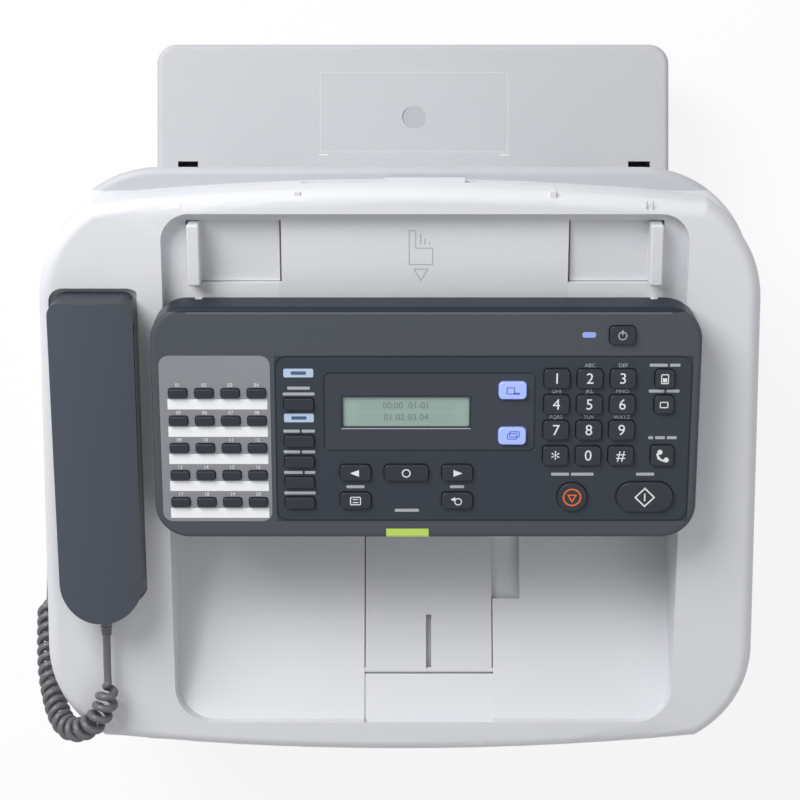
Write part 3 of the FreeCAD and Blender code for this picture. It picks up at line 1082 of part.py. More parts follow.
def coil_points():
    """Points and directions of the wire's middle, from the handset to the plug."""
    x, y, z = size("handset_x"), size("handset_front"), size("handset_under") + 6
    plug = VEC(-size("house_width") / 2 - 3, size("jack_y"), size("jack_z"))
    stops = [leaning_point(x, y + 2, z), leaning_point(x, y - 14, z), leaning_point(-151.5, -150, 7),
             leaning_point(-151, -167, 9), leaning_point(-160, -182, 11), VEC(-177, -181, 143),
             VEC(-189, -158, 116), VEC(-193, -128, 94), plug - VEC(13.5, 26, 0), plug - VEC(13.5, 0, 0),
             plug]
    curve = Part.BSplineCurve()
    curve.buildFromPoles(stops, False, 2)
    length = curve.length()
    radius, pitch = size("curl_radius"), size("curl_pitch")
    coil_start, coil_end = 40.0, length - 38.0
    ramp = 1.5 * pitch
    side = VEC(1, 0, 0)
    fine = 4000
    track = []
    for i in range(fine + 1):
        s = length * i / fine
        u = curve.parameterAtDistance(s, curve.FirstParameter)
        way = VEC(*curve.tangent(u)[0]).normalize()
        side = (side - way * side.dot(way)).normalize()
        track.append((s, curve.value(u), side, way.cross(side)))

    def swell(s):
        rise = min(max((s - coil_start) / ramp, 0.0), 1.0, max((coil_end - s) / ramp, 0.0))
        return radius * rise * rise * (3 - 2 * rise)

    wire = []
    for s, middle, one, two in track:
        turn = 2 * math.pi * (s - coil_start) / pitch
        wire.append(middle + (one * math.cos(turn) + two * math.sin(turn)) * swell(s))
    marks = [0, int(fine * 12 / length), int(fine * 26 / length)]
    s = coil_start - 4
    while s < coil_end + 4:
        marks.append(int(round(fine * s / length)))
        s += pitch / 6
    marks += [int(fine * (length - 13) / length), int(fine * (length - 5) / length), fine]
    along = [0.0]
    for one, two in zip(wire, wire[1:]):
        along.append(along[-1] + (two - one).Length)
    nearest = min((wire[i] - wire[j]).Length for i in range(0, fine, 4) for j in range(i, fine, 4)
                  if 15 < along[j] - along[i] < 110)
    print(f"least gap of the cord to itself: {nearest - size('cord_wire'):.2f} mm")
    knots = []
    for m in marks:
        ahead = wire[min(m + 1, fine)] - wire[max(m - 1, 0)]
        knots.append((wire[m], ahead.normalize()))
    return knots


def biarc(p0, t0, p1, t1):
    """Two arcs that leave p0 along t0 and reach p1 along t1."""
    v = p1 - p0
    a = 2 * (t0.dot(t1) - 1)
    b = -2 * v.dot(t0 + t1)
    c = v.dot(v)
    d = -c / b if abs(a) < 1e-9 else (-b - math.sqrt(b * b - 4 * a * c)) / (2 * a)
    if d < 0:
        d = (-b + math.sqrt(b * b - 4 * a * c)) / (2 * a)
    joint = (p0 + p1 + (t0 - t1) * d) * 0.5
    return [half_arc(p0, t0, joint), half_arc(joint, None, p1, t1)]


def half_arc(p0, t0, p1, t1=None):
    """An arc from p0 to p1 with a given direction at one end."""
    chord = p1 - p0
    lead = t0 if t0 is not None else t1
    bend = chord.getAngle(lead)
    if bend < 1e-4:
        return Part.LineSegment(p0, p1).toShape()
    across = lead - chord * (lead.dot(chord) / chord.dot(chord))
    across.normalize()
    if t0 is None:
        across = across * -1
    middle = (p0 + p1) * 0.5 + across * (chord.Length / 2 * math.tan(bend / 2))
    return Part.Arc(p0, middle, p1).toShape()


def make_cord():
    knots = coil_points()
    edges = []
    for (p0, t0), (p1, t1) in zip(knots, knots[1:]):
        edges += biarc(p0, t0, p1, t1)
    path = Part.Wire(edges)
    start, way = knots[0]
    ring = Part.Wire([Part.Circle(start, way, size("cord_wire") / 2).toShape()])
    solid = path.makePipeShell([ring], True, False)
    cord = doc.addObject("Part::Feature", "cord_sweep")
    cord.Shape = solid
    part("handset_cord", cord)
    plug = box("plug_body", ("-house_width / 2 - 3", "jack_depth - house_width / 2 - 1"),
               span("jack_y", "jack_size - 2"),
               ("jack_z - jack_size / 2", "jack_z + jack_size / 2 - 3"))
    bore = rod("plug_bore", "X", ("-house_width / 2 - 4", "jack_y", "jack_z"), "8",
               "cord_wire / 2 + 0.02")
    part("cord_plug", cut("plug_cut", plug, bore))


make_cord()

doc.recompute()
bad = [o.Name for o in doc.Objects if "Invalid" in o.State or "Error" in o.State]
bad += [name for name,
        obj in PARTS.items() if obj.Shape.isNull() or not obj.Shape.isValid() or not obj.Shape.Solids]
if bad:
    raise RuntimeError(f"pieces that did not build: {bad}")
os.makedirs("parts", exist_ok=True)
for name, obj in PARTS.items():
    obj.Shape.exportStep(f"parts/{name}.step")
    edge = obj.Shape.BoundBox
    spans = (edge.XMin, edge.XMax, edge.YMin, edge.YMax, edge.ZMin, edge.ZMax)
    print(f"{name:18s} {len(obj.Shape.Solids):2d}", *[f"{value:8.1f}" for value in spans])
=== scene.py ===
"""Looks of a desktop fax machine: finishes, key prints, display, handset cord, light and camera.

Sizes are millimetres in the lid's leaning frame (x to the right, y up the slope, z off the lid),
turned into the row frame in metres by LEAN, unless a name says otherwise.
"""

import math

import bmesh
import bpy
from mathutils import Matrix, Vector


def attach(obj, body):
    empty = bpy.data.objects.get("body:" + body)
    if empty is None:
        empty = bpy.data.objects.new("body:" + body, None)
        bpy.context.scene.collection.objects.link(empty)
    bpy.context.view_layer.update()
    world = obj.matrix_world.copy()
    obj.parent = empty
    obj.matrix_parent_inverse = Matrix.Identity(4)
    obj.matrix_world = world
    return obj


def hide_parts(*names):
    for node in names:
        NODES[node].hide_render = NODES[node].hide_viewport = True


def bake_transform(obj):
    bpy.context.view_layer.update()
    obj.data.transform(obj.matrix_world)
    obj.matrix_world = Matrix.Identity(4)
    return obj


MM = 0.001
TILT = math.radians(17)
RIM_HEIGHT = 200
LEAN = Matrix.Translation((0, 0, RIM_HEIGHT * MM)) @ Matrix.Rotation(TILT, 4, "X") @ Matrix.Scale(MM, 4)

FACE = 22.0
KEY_TOP = 23.8
PRINT_THICK = 0.05
CAPITAL_SHARE = 0.7

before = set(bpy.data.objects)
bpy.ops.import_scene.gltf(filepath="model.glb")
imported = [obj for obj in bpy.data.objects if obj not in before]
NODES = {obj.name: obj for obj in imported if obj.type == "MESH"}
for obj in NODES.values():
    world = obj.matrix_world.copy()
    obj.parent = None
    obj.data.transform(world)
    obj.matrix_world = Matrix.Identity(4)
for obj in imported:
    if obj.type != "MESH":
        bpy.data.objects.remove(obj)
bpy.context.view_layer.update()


def leaning_point(x, y, z):
    return LEAN @ Vector((x, y, z))


def level_point(x, y, z):
    return Vector((x, y, z)) * MM


def linear(red, green, blue):
    """A display colour of 0 to 255 as the linear colour that a shader takes."""
    def channel(v):
        v /= 255
        return v / 12.92 if v <= 0.04045 else ((v + 0.055) / 1.055) ** 2.4
    return channel(red), channel(green), channel(blue), 1.0


def add_object(name, data):
    obj = bpy.data.objects.new(name, data)
    bpy.context.collection.objects.link(obj)
    return obj


def evaluated_mesh(obj):
    """A plain mesh of what an object's curve or modifiers make."""
    return bpy.data.meshes.new_from_object(obj.evaluated_get(bpy.context.evaluated_depsgraph_get()))


def plain_mesh(bm, name, material):
    """A mesh of what has been built, which is then let go."""
    mesh = bpy.data.meshes.new(name)
    bm.to_mesh(mesh)
    bm.free()
    mesh.materials.append(material)
    return mesh


# Shared shader groups.
def new_group(name, inputs, outputs):
    group = bpy.data.node_groups.new(name, "ShaderNodeTree")
    for label, kind, value in inputs:
        socket = group.interface.new_socket(label, in_out="INPUT", socket_type=kind)
        socket.default_value = value
    for label, kind in outputs:
        group.interface.new_socket(label, in_out="OUTPUT", socket_type=kind)
    return group, group.nodes.new("NodeGroupInput"), group.nodes.new("NodeGroupOutput")


def make_moulded_grain():
    """Spark-eroded plastic: a fine bump, faint cloudy tone and uneven gloss."""
    group, given, out = new_group(
        "moulded_grain",
        [("Color", "NodeSocketColor", (0.5, 0.5, 0.5, 1)), ("Roughness", "NodeSocketFloat", 0.5),
         ("Grain Scale", "NodeSocketFloat", 2600.0), ("Grain Depth", "NodeSocketFloat", 0.12),
         ("Cloud", "NodeSocketFloat", 0.05)],
        [("Color", "NodeSocketColor"), ("Roughness", "NodeSocketFloat"), ("Normal", "NodeSocketVector")],
    )
    nodes, links = group.nodes, group.links
    place = nodes.new("ShaderNodeTexCoord")
    fine = nodes.new("ShaderNodeTexNoise")
    fine.inputs["Detail"].default_value = 2.0
    links.new(place.outputs["Object"], fine.inputs["Vector"])
    links.new(given.outputs["Grain Scale"], fine.inputs["Scale"])
    bump = nodes.new("ShaderNodeBump")
    bump.inputs["Distance"].default_value = 0.0001
    links.new(given.outputs["Grain Depth"], bump.inputs["Strength"])
    links.new(fine.outputs["Fac"], bump.inputs["Height"])
    links.new(bump.outputs["Normal"], out.inputs["Normal"])
    cloud = nodes.new("ShaderNodeTexNoise")
    cloud.inputs["Scale"].default_value = 9.0
    links.new(place.outputs["Object"], cloud.inputs["Vector"])
    spread = nodes.new("ShaderNodeMapRange")
    links.new(cloud.outputs["Fac"], spread.inputs["Value"])
    less = nodes.new("ShaderNodeMath")
    less.operation = "SUBTRACT"
    less.inputs[0].default_value = 1.0
    links.new(given.outputs["Cloud"], less.inputs[1])
    links.new(less.outputs[0], spread.inputs["To Min"])
    tone = nodes.new("ShaderNodeVectorMath")
    tone.operation = "SCALE"
    links.new(given.outputs["Color"], tone.inputs[0])
    links.new(spread.outputs["Result"], tone.inputs["Scale"])
    links.new(tone.outputs["Vector"], out.inputs["Color"])
    uneven = nodes.new("ShaderNodeMath")
    uneven.operation = "MULTIPLY_ADD"
    uneven.inputs[1].default_value = 0.12
    links.new(fine.outputs["Fac"], uneven.inputs[0])
    links.new(given.outputs["Roughness"], uneven.inputs[2])
    links.new(uneven.outputs[0], out.inputs["Roughness"])
    return group


def make_field_mask():
    """One inside a rectangle of the leaning frame, zero outside it."""
    group, given, out = new_group(
        "field_mask",
        [("Middle X", "NodeSocketFloat", 0.0), ("Middle Y", "NodeSocketFloat", 0.0),
         ("Half X", "NodeSocketFloat", 0.1), ("Half Y", "NodeSocketFloat", 0.1)],
        [("Mask", "NodeSocketFloat")],
    )
    nodes, links = group.nodes, group.links
    place = nodes.new("ShaderNodeTexCoord")
    turn = nodes.new("ShaderNodeMapping")
    turn.inputs["Rotation"].default_value = (-TILT, 0, 0)
    shift = Matrix.Rotation(-TILT, 4, "X") @ Vector((0, 0, -RIM_HEIGHT * MM))
    turn.inputs["Location"].default_value = shift
    links.new(place.outputs["Object"], turn.inputs["Vector"])
    split = nodes.new("ShaderNodeSeparateXYZ")
    links.new(turn.outputs["Vector"], split.inputs["Vector"])
    both = nodes.new("ShaderNodeMath")
    both.operation = "MULTIPLY"
    for i, axis in enumerate("XY"):
        near = nodes.new("ShaderNodeMath")
        near.operation = "COMPARE"
        links.new(split.outputs[axis], near.inputs[0])
        links.new(given.outputs[f"Middle {axis}"], near.inputs[1])
        links.new(given.outputs[f"Half {axis}"], near.inputs[2])
        links.new(near.outputs[0], both.inputs[i])
    links.new(both.outputs[0], out.inputs["Mask"])
    return group


def make_rear_facing():
    """One on faces that look up the slope, zero on the rest; it masks painted shade on rear faces."""
    group, given, out = new_group(
        "rear_facing", [("Least", "NodeSocketFloat", 0.15), ("Full", "NodeSocketFloat", 0.32)],
        [("Mask", "NodeSocketFloat")],
    )
    nodes, links = group.nodes, group.links
    place = nodes.new("ShaderNodeTexCoord")
    toward = nodes.new("ShaderNodeVectorMath")
    toward.operation = "DOT_PRODUCT"
    toward.inputs[1].default_value = (0, math.cos(TILT), math.sin(TILT))
    links.new(place.outputs["Normal"], toward.inputs[0])
    spread = nodes.new("ShaderNodeMapRange")
    links.new(toward.outputs["Value"], spread.inputs["Value"])
    links.new(given.outputs["Least"], spread.inputs["From Min"])
    links.new(given.outputs["Full"], spread.inputs["From Max"])
    links.new(spread.outputs["Result"], out.inputs["Mask"])
    return group


GRAIN = make_moulded_grain()
FIELD = make_field_mask()
REAR_FACING = make_rear_facing()


def finish(name, color, rough, scale=2600.0, depth=0.12, cloud=0.05, fields=(), **sockets):
    """A plastic, paint or metal; fields are (rectangle, color, rear faces only) patches of another tone, some
    the thing's own, some painted shade and painted highlight.
    """
    material = bpy.data.materials.new(name)
    material.use_nodes = True
    nodes, links = material.node_tree.nodes, material.node_tree.links
    shader = nodes["Principled BSDF"]
    grain = nodes.new("ShaderNodeGroup")
    grain.node_tree = GRAIN
    grain.inputs["Color"].default_value = linear(*color)
    grain.inputs["Roughness"].default_value = rough
    grain.inputs["Grain Scale"].default_value = scale
    grain.inputs["Grain Depth"].default_value = depth
    grain.inputs["Cloud"].default_value = cloud
    source = None
    for (low_x, high_x, low_y, high_y), tone, rear_only in fields:
        mask = nodes.new("ShaderNodeGroup")
        mask.node_tree = FIELD
        mask.inputs["Middle X"].default_value = (low_x + high_x) / 2 * MM
        mask.inputs["Half X"].default_value = (high_x - low_x) / 2 * MM
        mask.inputs["Middle Y"].default_value = (low_y + high_y) / 2 * MM
        mask.inputs["Half Y"].default_value = (high_y - low_y) / 2 * MM
        mix = nodes.new("ShaderNodeMix")
        mix.data_type = "RGBA"
        share = mask.outputs["Mask"]
        if rear_only:
            facing = nodes.new("ShaderNodeGroup")
            facing.node_tree = REAR_FACING
            both = nodes.new("ShaderNodeMath")
            both.operation = "MULTIPLY"
            links.new(share, both.inputs[0])
            links.new(facing.outputs["Mask"], both.inputs[1])
            share = both.outputs[0]
        links.new(share, mix.inputs["Factor"])
        mix.inputs["A"].default_value = linear(*color)
        mix.inputs["B"].default_value = linear(*tone)
        if source:
            links.new(source, mix.inputs["A"])
        source = mix.outputs["Result"]
    if source:
        links.new(source, grain.inputs["Color"])
    links.new(grain.outputs["Color"], shader.inputs["Base Color"])
    links.new(grain.outputs["Roughness"], shader.inputs["Roughness"])
    links.new(grain.outputs["Normal"], shader.inputs["Normal"])
    for label, value in sockets.items():
        shader.inputs[label.replace("_", " ")].default_value = value
    return material


INLAY = (-61.4, 143.2, -63.4, 22.4)
SCREEN = (-37.6, 66.7, -26.7, 14.0)
# Painted shade: a darker grey over the housing's rear shoulder and the top of its rear wall.
HOUSING_SHOULDER_PAINTED_SHADE = (-200, 200, 94, 140)
# Painted shade: a darker tone on the rear-facing faces of the handset's end.
HANDSET_REAR_PAINTED_SHADE = (-180, -120, 30, 60)
GUIDE_STRIPS = ((-108, -60.2, 38, 51.8), (83.6, 131, 38, 51.8))
# Painted shade: the panel's rear wall gets a darker tone where it faces away from the light.
PANEL_REAR_PAINTED_SHADE = (-130, 160, 44.2, 60)
# Painted highlight: a thin lighter line along the panel's rear edge.
PANEL_EDGE_PAINTED_HIGHLIGHT = (-104, 132, 43.3, 44.2)
LIGHT_SHELL = finish("light_shell", (218, 219, 223), 0.42)
LID_SHELL = finish("lid_shell", (223, 224, 228), 0.42,
                   fields=[(strip, (230, 231, 235), False) for strip in GUIDE_STRIPS])
# The housing's grey field is painted shade on its rear shoulder.
HOUSING_SHELL = finish("housing_shell", (218, 219, 223), 0.42, fields=[(HOUSING_SHOULDER_PAINTED_SHADE, (190, 191, 196), False)])
GREY_SHELL = finish("grey_shell", (190, 191, 195), 0.45)
# The dark panel's fields: inlay and screen in their own tones, the rear wall in painted shade, and a painted
# highlight along its rear edge.
DARK_PANEL = finish("dark_panel", (80, 84, 91), 0.4, Specular_IOR_Level=0.12,
                    fields=[(INLAY, (60, 66, 74), False), (SCREEN, (66, 70, 78), False),
                            (PANEL_REAR_PAINTED_SHADE, (42, 48, 58), False), (PANEL_EDGE_PAINTED_HIGHLIGHT, (108, 112, 120), False)])
# The handset's darker field is painted shade on its rear-facing end.
DARK_HANDSET = finish("dark_handset", (67, 73, 83), 0.42, Specular_IOR_Level=0.35,
                      fields=[(HANDSET_REAR_PAINTED_SHADE, (44, 49, 58), True)])
DARK_KEY = finish("dark_key", (38, 41, 50), 0.35, Specular_IOR_Level=0.35)
LIT_KEY = finish("lit_key", (160, 178, 252), 0.3,
                 Emission_Color=linear(160, 178, 255), Emission_Strength=0.25)
SILVER = finish("silver_plate", (141, 142, 147), 0.38, scale=5200.0, depth=0.35, cloud=0.1, Metallic=0.55)
DISPLAY = finish("display", (154, 176, 168), 0.2, depth=0.02)
LIME_LENS = finish("lime_lens", (184, 208, 92), 0.22, depth=0.03,
                   Emission_Color=linear(184, 214, 84), Emission_Strength=0.12)
CORD_JACKET = finish("cord_jacket", (100, 100, 105), 0.28)
GREEN_BOARD = finish("green_board", (30, 92, 52), 0.4)
ROLLER_RUBBER = finish("roller_rubber", (36, 36, 38), 0.8, scale=1200.0, depth=0.3)
ENGINE_BLACK = finish("engine_black", (40, 41, 44), 0.55)
STEEL = finish("plain_steel", (168, 170, 174), 0.35, scale=900.0, Metallic=1.0)
WHITE_INK = finish("white_ink", (236, 237, 240), 0.5, depth=0.02)
GREY_INK = finish("grey_ink", (176, 179, 186), 0.5, depth=0.02)
BLUE_TAG = finish("blue_tag", (186, 206, 230), 0.5, depth=0.02)
STRIP_CARD = finish("strip_card", (246, 247, 251), 0.5, depth=0.04)
ORANGE_INK = finish("orange_ink", (236, 112, 44), 0.5, depth=0.02)
LAMP_BLUE = finish("lamp_blue", (132, 148, 236), 0.25, depth=0.02,
                   Emission_Color=linear(132, 148, 240), Emission_Strength=0.3)
TAG_INK = finish("tag_ink", (74, 88, 128), 0.5, depth=0.02)
CELL_INK = finish("cell_ink", (112, 130, 122), 0.4, depth=0.02)
CELL_TONE = finish("cell_tone", (149, 170, 162), 0.25, depth=0.02)
COVER_MARK = finish("cover_mark", (174, 176, 181), 0.5, depth=0.05)
COVER_EDGE = finish("cover_edge", (210, 211, 214), 0.45, depth=0.05)
BLUE_INK = finish("blue_ink", (92, 108, 190), 0.5, depth=0.02)
MOULD_MARK = finish("mould_mark", (176, 178, 186), 0.5, depth=0.05)

FINISHES = {
    "top_cover": LID_SHELL, "main_housing": HOUSING_SHELL, "cassette_cover": GREY_SHELL,
    "panel_housing": DARK_PANEL, "speed_dial_plate": SILVER, "lcd_module": DISPLAY, "lamp_lenses": LIME_LENS,
    "key_mode_rear": LIT_KEY, "key_mode_front": LIT_KEY, "cord_plug": CORD_JACKET,
    "panel_board": GREEN_BOARD, "circuit_boards": GREEN_BOARD, "rubber_feet": ROLLER_RUBBER,
    "screws": STEEL, "laser_unit": STEEL, "fuser": STEEL, "drive_motor": STEEL,
    "base_frame": ENGINE_BLACK, "rear_sockets": ENGINE_BLACK, "toner_cartridge": ENGINE_BLACK,
    "image_sensor": ENGINE_BLACK,
}
for name, obj in NODES.items():
    if name.startswith("key_") or name.endswith("_keys"):
        chosen = FINISHES.get(name, DARK_KEY)
    elif name.startswith("handset_") or name.startswith("hook_"):
        chosen = DARK_HANDSET
    elif name.endswith("_roller"):
        chosen = ROLLER_RUBBER
    else:
        chosen = FINISHES.get(name, LIGHT_SHELL)
    for spot in obj.material_slots:
        spot.material = chosen


# The lid, with its flats kept flat beside their rounded edges.
CREASE = math.radians(28)
FLAT_WEIGHT = 80
WELD = 0.001 * MM


def even_flats(node, piece, body):
    """A copy of a moulding, its shading weighted by the size of its faces."""
    mesh = NODES[node].data.copy()
    if "custom_normal" in mesh.attributes:
        mesh.attributes.remove(mesh.attributes["custom_normal"])
    bm = bmesh.new()
    bm.from_mesh(mesh)
    bmesh.ops.remove_doubles(bm, verts=bm.verts, dist=WELD)
    for face in bm.faces:
        face.smooth = True
    for edge in bm.edges:
        edge.smooth = edge.calc_face_angle(math.pi) < CREASE
    bm.to_mesh(mesh)
    bm.free()
    copy = add_object(piece, mesh)
    weigh = copy.modifiers.new("weigh", "WEIGHTED_NORMAL")
    weigh.keep_sharp = True
    weigh.weight = FLAT_WEIGHT
    shaded = evaluated_mesh(copy)
    copy.modifiers.clear()
    copy.data = shaded
    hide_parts(node)
    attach(copy, body)


even_flats("top_cover", "lid_moulding", "body")


# Prints and small trims, gathered by the body they move with and the ink they take.
class Prints:
    def __init__(self):
        self.meshes = {}

    def mesh(self, body, ink):
        return self.meshes.setdefault((body, ink.name), bmesh.new())

    def outline(self, body, ink, rings, z, thick=PRINT_THICK, place=leaning_point):
        """A thin plate: quads between two matching rings, or one filled ring."""
        bm = self.mesh(body, ink)
        layers = []
        for height in (z, z + thick):
            layers.append([[bm.verts.new(place(x, y, height)) for x, y in ring] for ring in rings])
        low, high = layers
        if len(rings) == 1:
            bm.faces.new(high[0])
            bm.faces.new(list(reversed(low[0])))
        for ring_number in range(len(rings)):
            edge = [low[ring_number], high[ring_number]]
            self.band(bm, *(edge if ring_number == 0 else reversed(edge)))
        if len(rings) == 2:
            self.band(bm, high[0], high[1])
            self.band(bm, low[1], low[0])

    @staticmethod
    def band(bm, one, two):
        for i in range(len(one)):
            k = (i + 1) % len(one)
            bm.faces.new((one[i], one[k], two[k], two[i]))

    def text(self, body, ink, words, x, y, z, tall):
        """Characters of a given height, centred on (x, y)."""
        curve = bpy.data.curves.new("print", "FONT")
        curve.body = words
        curve.size = tall / CAPITAL_SHARE
        curve.align_x = "CENTER"
        curve.align_y = "CENTER"
        curve.extrude = PRINT_THICK / 2
        curve.resolution_u = 3
        obj = add_object("print", curve)
        mesh = evaluated_mesh(obj)
        mesh.transform(LEAN @ Matrix.Translation((x, y, z + PRINT_THICK / 2)))
        self.mesh(body, ink).from_mesh(mesh)
        bpy.data.objects.remove(obj)
        bpy.data.meshes.remove(mesh)

    def finish(self):
        for (body, ink), bm in self.meshes.items():
            bmesh.ops.recalc_face_normals(bm, faces=bm.faces)
            mesh = plain_mesh(bm, f"print_{body}_{ink}", bpy.data.materials[ink])
            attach(add_object(mesh.name, mesh), body)


PRINTS = Prints()


def block(x, y, width, height, corner=0.0):
    """A rectangle's corners, rounded where a corner radius is given."""
    half_w, half_h = width / 2 - corner, height / 2 - corner
    points = []
    for i, (sx, sy) in enumerate(((1, -1), (1, 1), (-1, 1), (-1, -1))):
        steps = (0.0,) if corner == 0 else (0, 0.25, 0.5, 0.75, 1.0)
        for step in steps:
            angle = math.pi / 2 * (i - 1 + step)
            points.append((x + sx * half_w + corner * math.cos(angle),
                           y + sy * half_h + corner * math.sin(angle)))
    return points


def circle(x, y, radius, count=40, start=0.0):
    angles = [start + 2 * math.pi * i / count for i in range(count)]
    return [(x + radius * math.cos(a), y + radius * math.sin(a)) for a in angles]


def bar(body, ink, x, y, width, height, z=FACE, corner=0.0):
    PRINTS.outline(body, ink, [block(x, y, width, height, corner)], z)


def frame_line(body, ink, x, y, width, height, line, z=FACE, corner=0.6):
    PRINTS.outline(body, ink, [block(x, y, width, height, corner),
                               block(x, y, width - 2 * line, height - 2 * line, max(corner - line, 0.1))], z)


def ring(body, ink, x, y, radius, line, z=KEY_TOP):
    PRINTS.outline(body, ink, [circle(x, y, radius), circle(x, y, radius - line)], z)


# Keypad prints.
DIGIT_X, DIGIT_Y, DIGIT_STEP_X, DIGIT_STEP_Y = 76.7, 11.0, 16.15, 13.2
DIGIT_TALL, STAR_TALL, STAR_DROP = 5.4, 7.0, 1.6
LETTER_TALL, LETTER_RISE = 1.9, 6.4
PHONE_LETTERS = ["", "ABC", "DEF", "GHI", "JKL", "MNO", "PQRS", "TUV", "WXYZ"]
FACES = ["1", "2", "3", "4", "5", "6", "7", "8", "9", "*", "0", "#"]
KEY_NAMES = {"*": "key_star", "#": "key_hash"}
for n, mark in enumerate(FACES):
    x = DIGIT_X + n % 3 * DIGIT_STEP_X
    y = DIGIT_Y - n // 3 * DIGIT_STEP_Y
    drop, tall = (STAR_DROP, STAR_TALL) if mark == "*" else (0.0, DIGIT_TALL)
    PRINTS.text(KEY_NAMES.get(mark, f"key_{mark}"), WHITE_INK, mark, x, y - drop, KEY_TOP, tall)
    if n < len(PHONE_LETTERS) and PHONE_LETTERS[n]:
        PRINTS.text("panel", GREY_INK, PHONE_LETTERS[n], x, y + LETTER_RISE, FACE, LETTER_TALL)

NAV_X, NAV_STEP, NAV_Y, NAV_ROW = 3.1, 25.2, -37.6, 14.5
ARROW = 2.6
for name, side in (("key_left", -1), ("key_right", 1)):
    x = NAV_X + side * NAV_STEP
    PRINTS.outline(name, WHITE_INK, [[(x + side * ARROW, NAV_Y), (x - side * ARROW * 0.7, NAV_Y + 1.8 * side),
                                      (x - side * ARROW * 0.7, NAV_Y - 1.8 * side)]], KEY_TOP)
ring("key_enter", WHITE_INK, NAV_X, NAV_Y, 2.2, 0.6)
frame_line("key_menu", WHITE_INK, NAV_X - NAV_STEP, NAV_Y - NAV_ROW, 5.4, 4.4, 0.5, KEY_TOP)
for shift in (-0.8, 0.8):
    bar("key_menu", WHITE_INK, NAV_X - NAV_STEP, NAV_Y - NAV_ROW + shift, 2.8, 0.5, KEY_TOP)
BACK_X, BACK_Y = NAV_X + NAV_STEP, NAV_Y - NAV_ROW
BACK_LOOP = (BACK_X + 0.6, BACK_Y - 0.4)
PRINTS.outline("key_back", WHITE_INK, [circle(*BACK_LOOP, 1.9, 24), circle(*BACK_LOOP, 1.4, 24)], KEY_TOP)
PRINTS.outline("key_back", WHITE_INK, [[(BACK_X - 3.2, BACK_Y + 0.8), (BACK_X - 0.8, BACK_Y - 0.4),
                                        (BACK_X - 0.8, BACK_Y + 2.0)]], KEY_TOP)

SIDE_X = 129.4
frame_line("key_address", WHITE_INK, SIDE_X, DIGIT_Y, 3.8, 5.0, 0.5, KEY_TOP)
bar("key_address", WHITE_INK, SIDE_X, DIGIT_Y - 0.6, 2.0, 2.0, KEY_TOP)
frame_line("key_redial", WHITE_INK, SIDE_X, DIGIT_Y - DIGIT_STEP_Y, 4.2, 3.2, 0.5, KEY_TOP)
HOOK_Y = DIGIT_Y - 3 * DIGIT_STEP_Y
for shift in (2.0, -2.0):
    PRINTS.outline("key_hands_free", WHITE_INK,
                   [circle(SIDE_X + 0.4 - shift * 0.8, HOOK_Y + shift, 1.3, 16)], KEY_TOP)
RECEIVER = [(-3.0, 1.0), (-2.2, -1.6), (0.6, -3.0), (2.0, -2.6), (-0.8, -1.2), (-2.4, 1.6)]
PRINTS.outline("key_hands_free", WHITE_INK, [[(SIDE_X + x, HOOK_Y + y) for x, y in RECEIVER]], KEY_TOP)

STOP_X, START_X, ACTION_Y = 85.4, 121.5, -50.2
POINT_DOWN = -math.pi / 2
ring("key_stop", ORANGE_INK, STOP_X, ACTION_Y, 4.6, 0.75)
PRINTS.outline("key_stop", ORANGE_INK, [circle(STOP_X, ACTION_Y, 2.9, 3, POINT_DOWN),
                                        circle(STOP_X, ACTION_Y, 1.7, 3, POINT_DOWN)], KEY_TOP)
PRINTS.outline("key_start", WHITE_INK,
               [circle(START_X, ACTION_Y, 5.2, 4), circle(START_X, ACTION_Y, 4.2, 4)], KEY_TOP)
bar("key_start", WHITE_INK, START_X, ACTION_Y, 0.7, 4.0, KEY_TOP)

POWER_X, POWER_Y, LAMP_X = 108.1, 32.9, 92.0
ring("key_power", GREY_INK, POWER_X, POWER_Y, 2.2, 0.5)
bar("key_power", GREY_INK, POWER_X, POWER_Y + 1.6, 0.6, 2.4, KEY_TOP + PRINT_THICK)
bar("panel", LAMP_BLUE, LAMP_X, POWER_Y, 6.4, 2.6, FACE + 0.22, 1.2)

LIT_X, LIT_Y, LIT_STEP = 55.2, 5.0, 23.4
frame_line("key_mode_rear", BLUE_INK, LIT_X - 1, LIT_Y, 4.2, 3.6, 0.5, KEY_TOP)
bar("key_mode_rear", BLUE_INK, LIT_X + 2, LIT_Y - 1.4, 3.0, 1.0, KEY_TOP)
for shift in (0, 1.1):
    frame_line("key_mode_front", BLUE_INK, LIT_X + shift, LIT_Y - LIT_STEP + shift, 5.0, 3.2, 0.45,
               KEY_TOP + shift * PRINT_THICK)


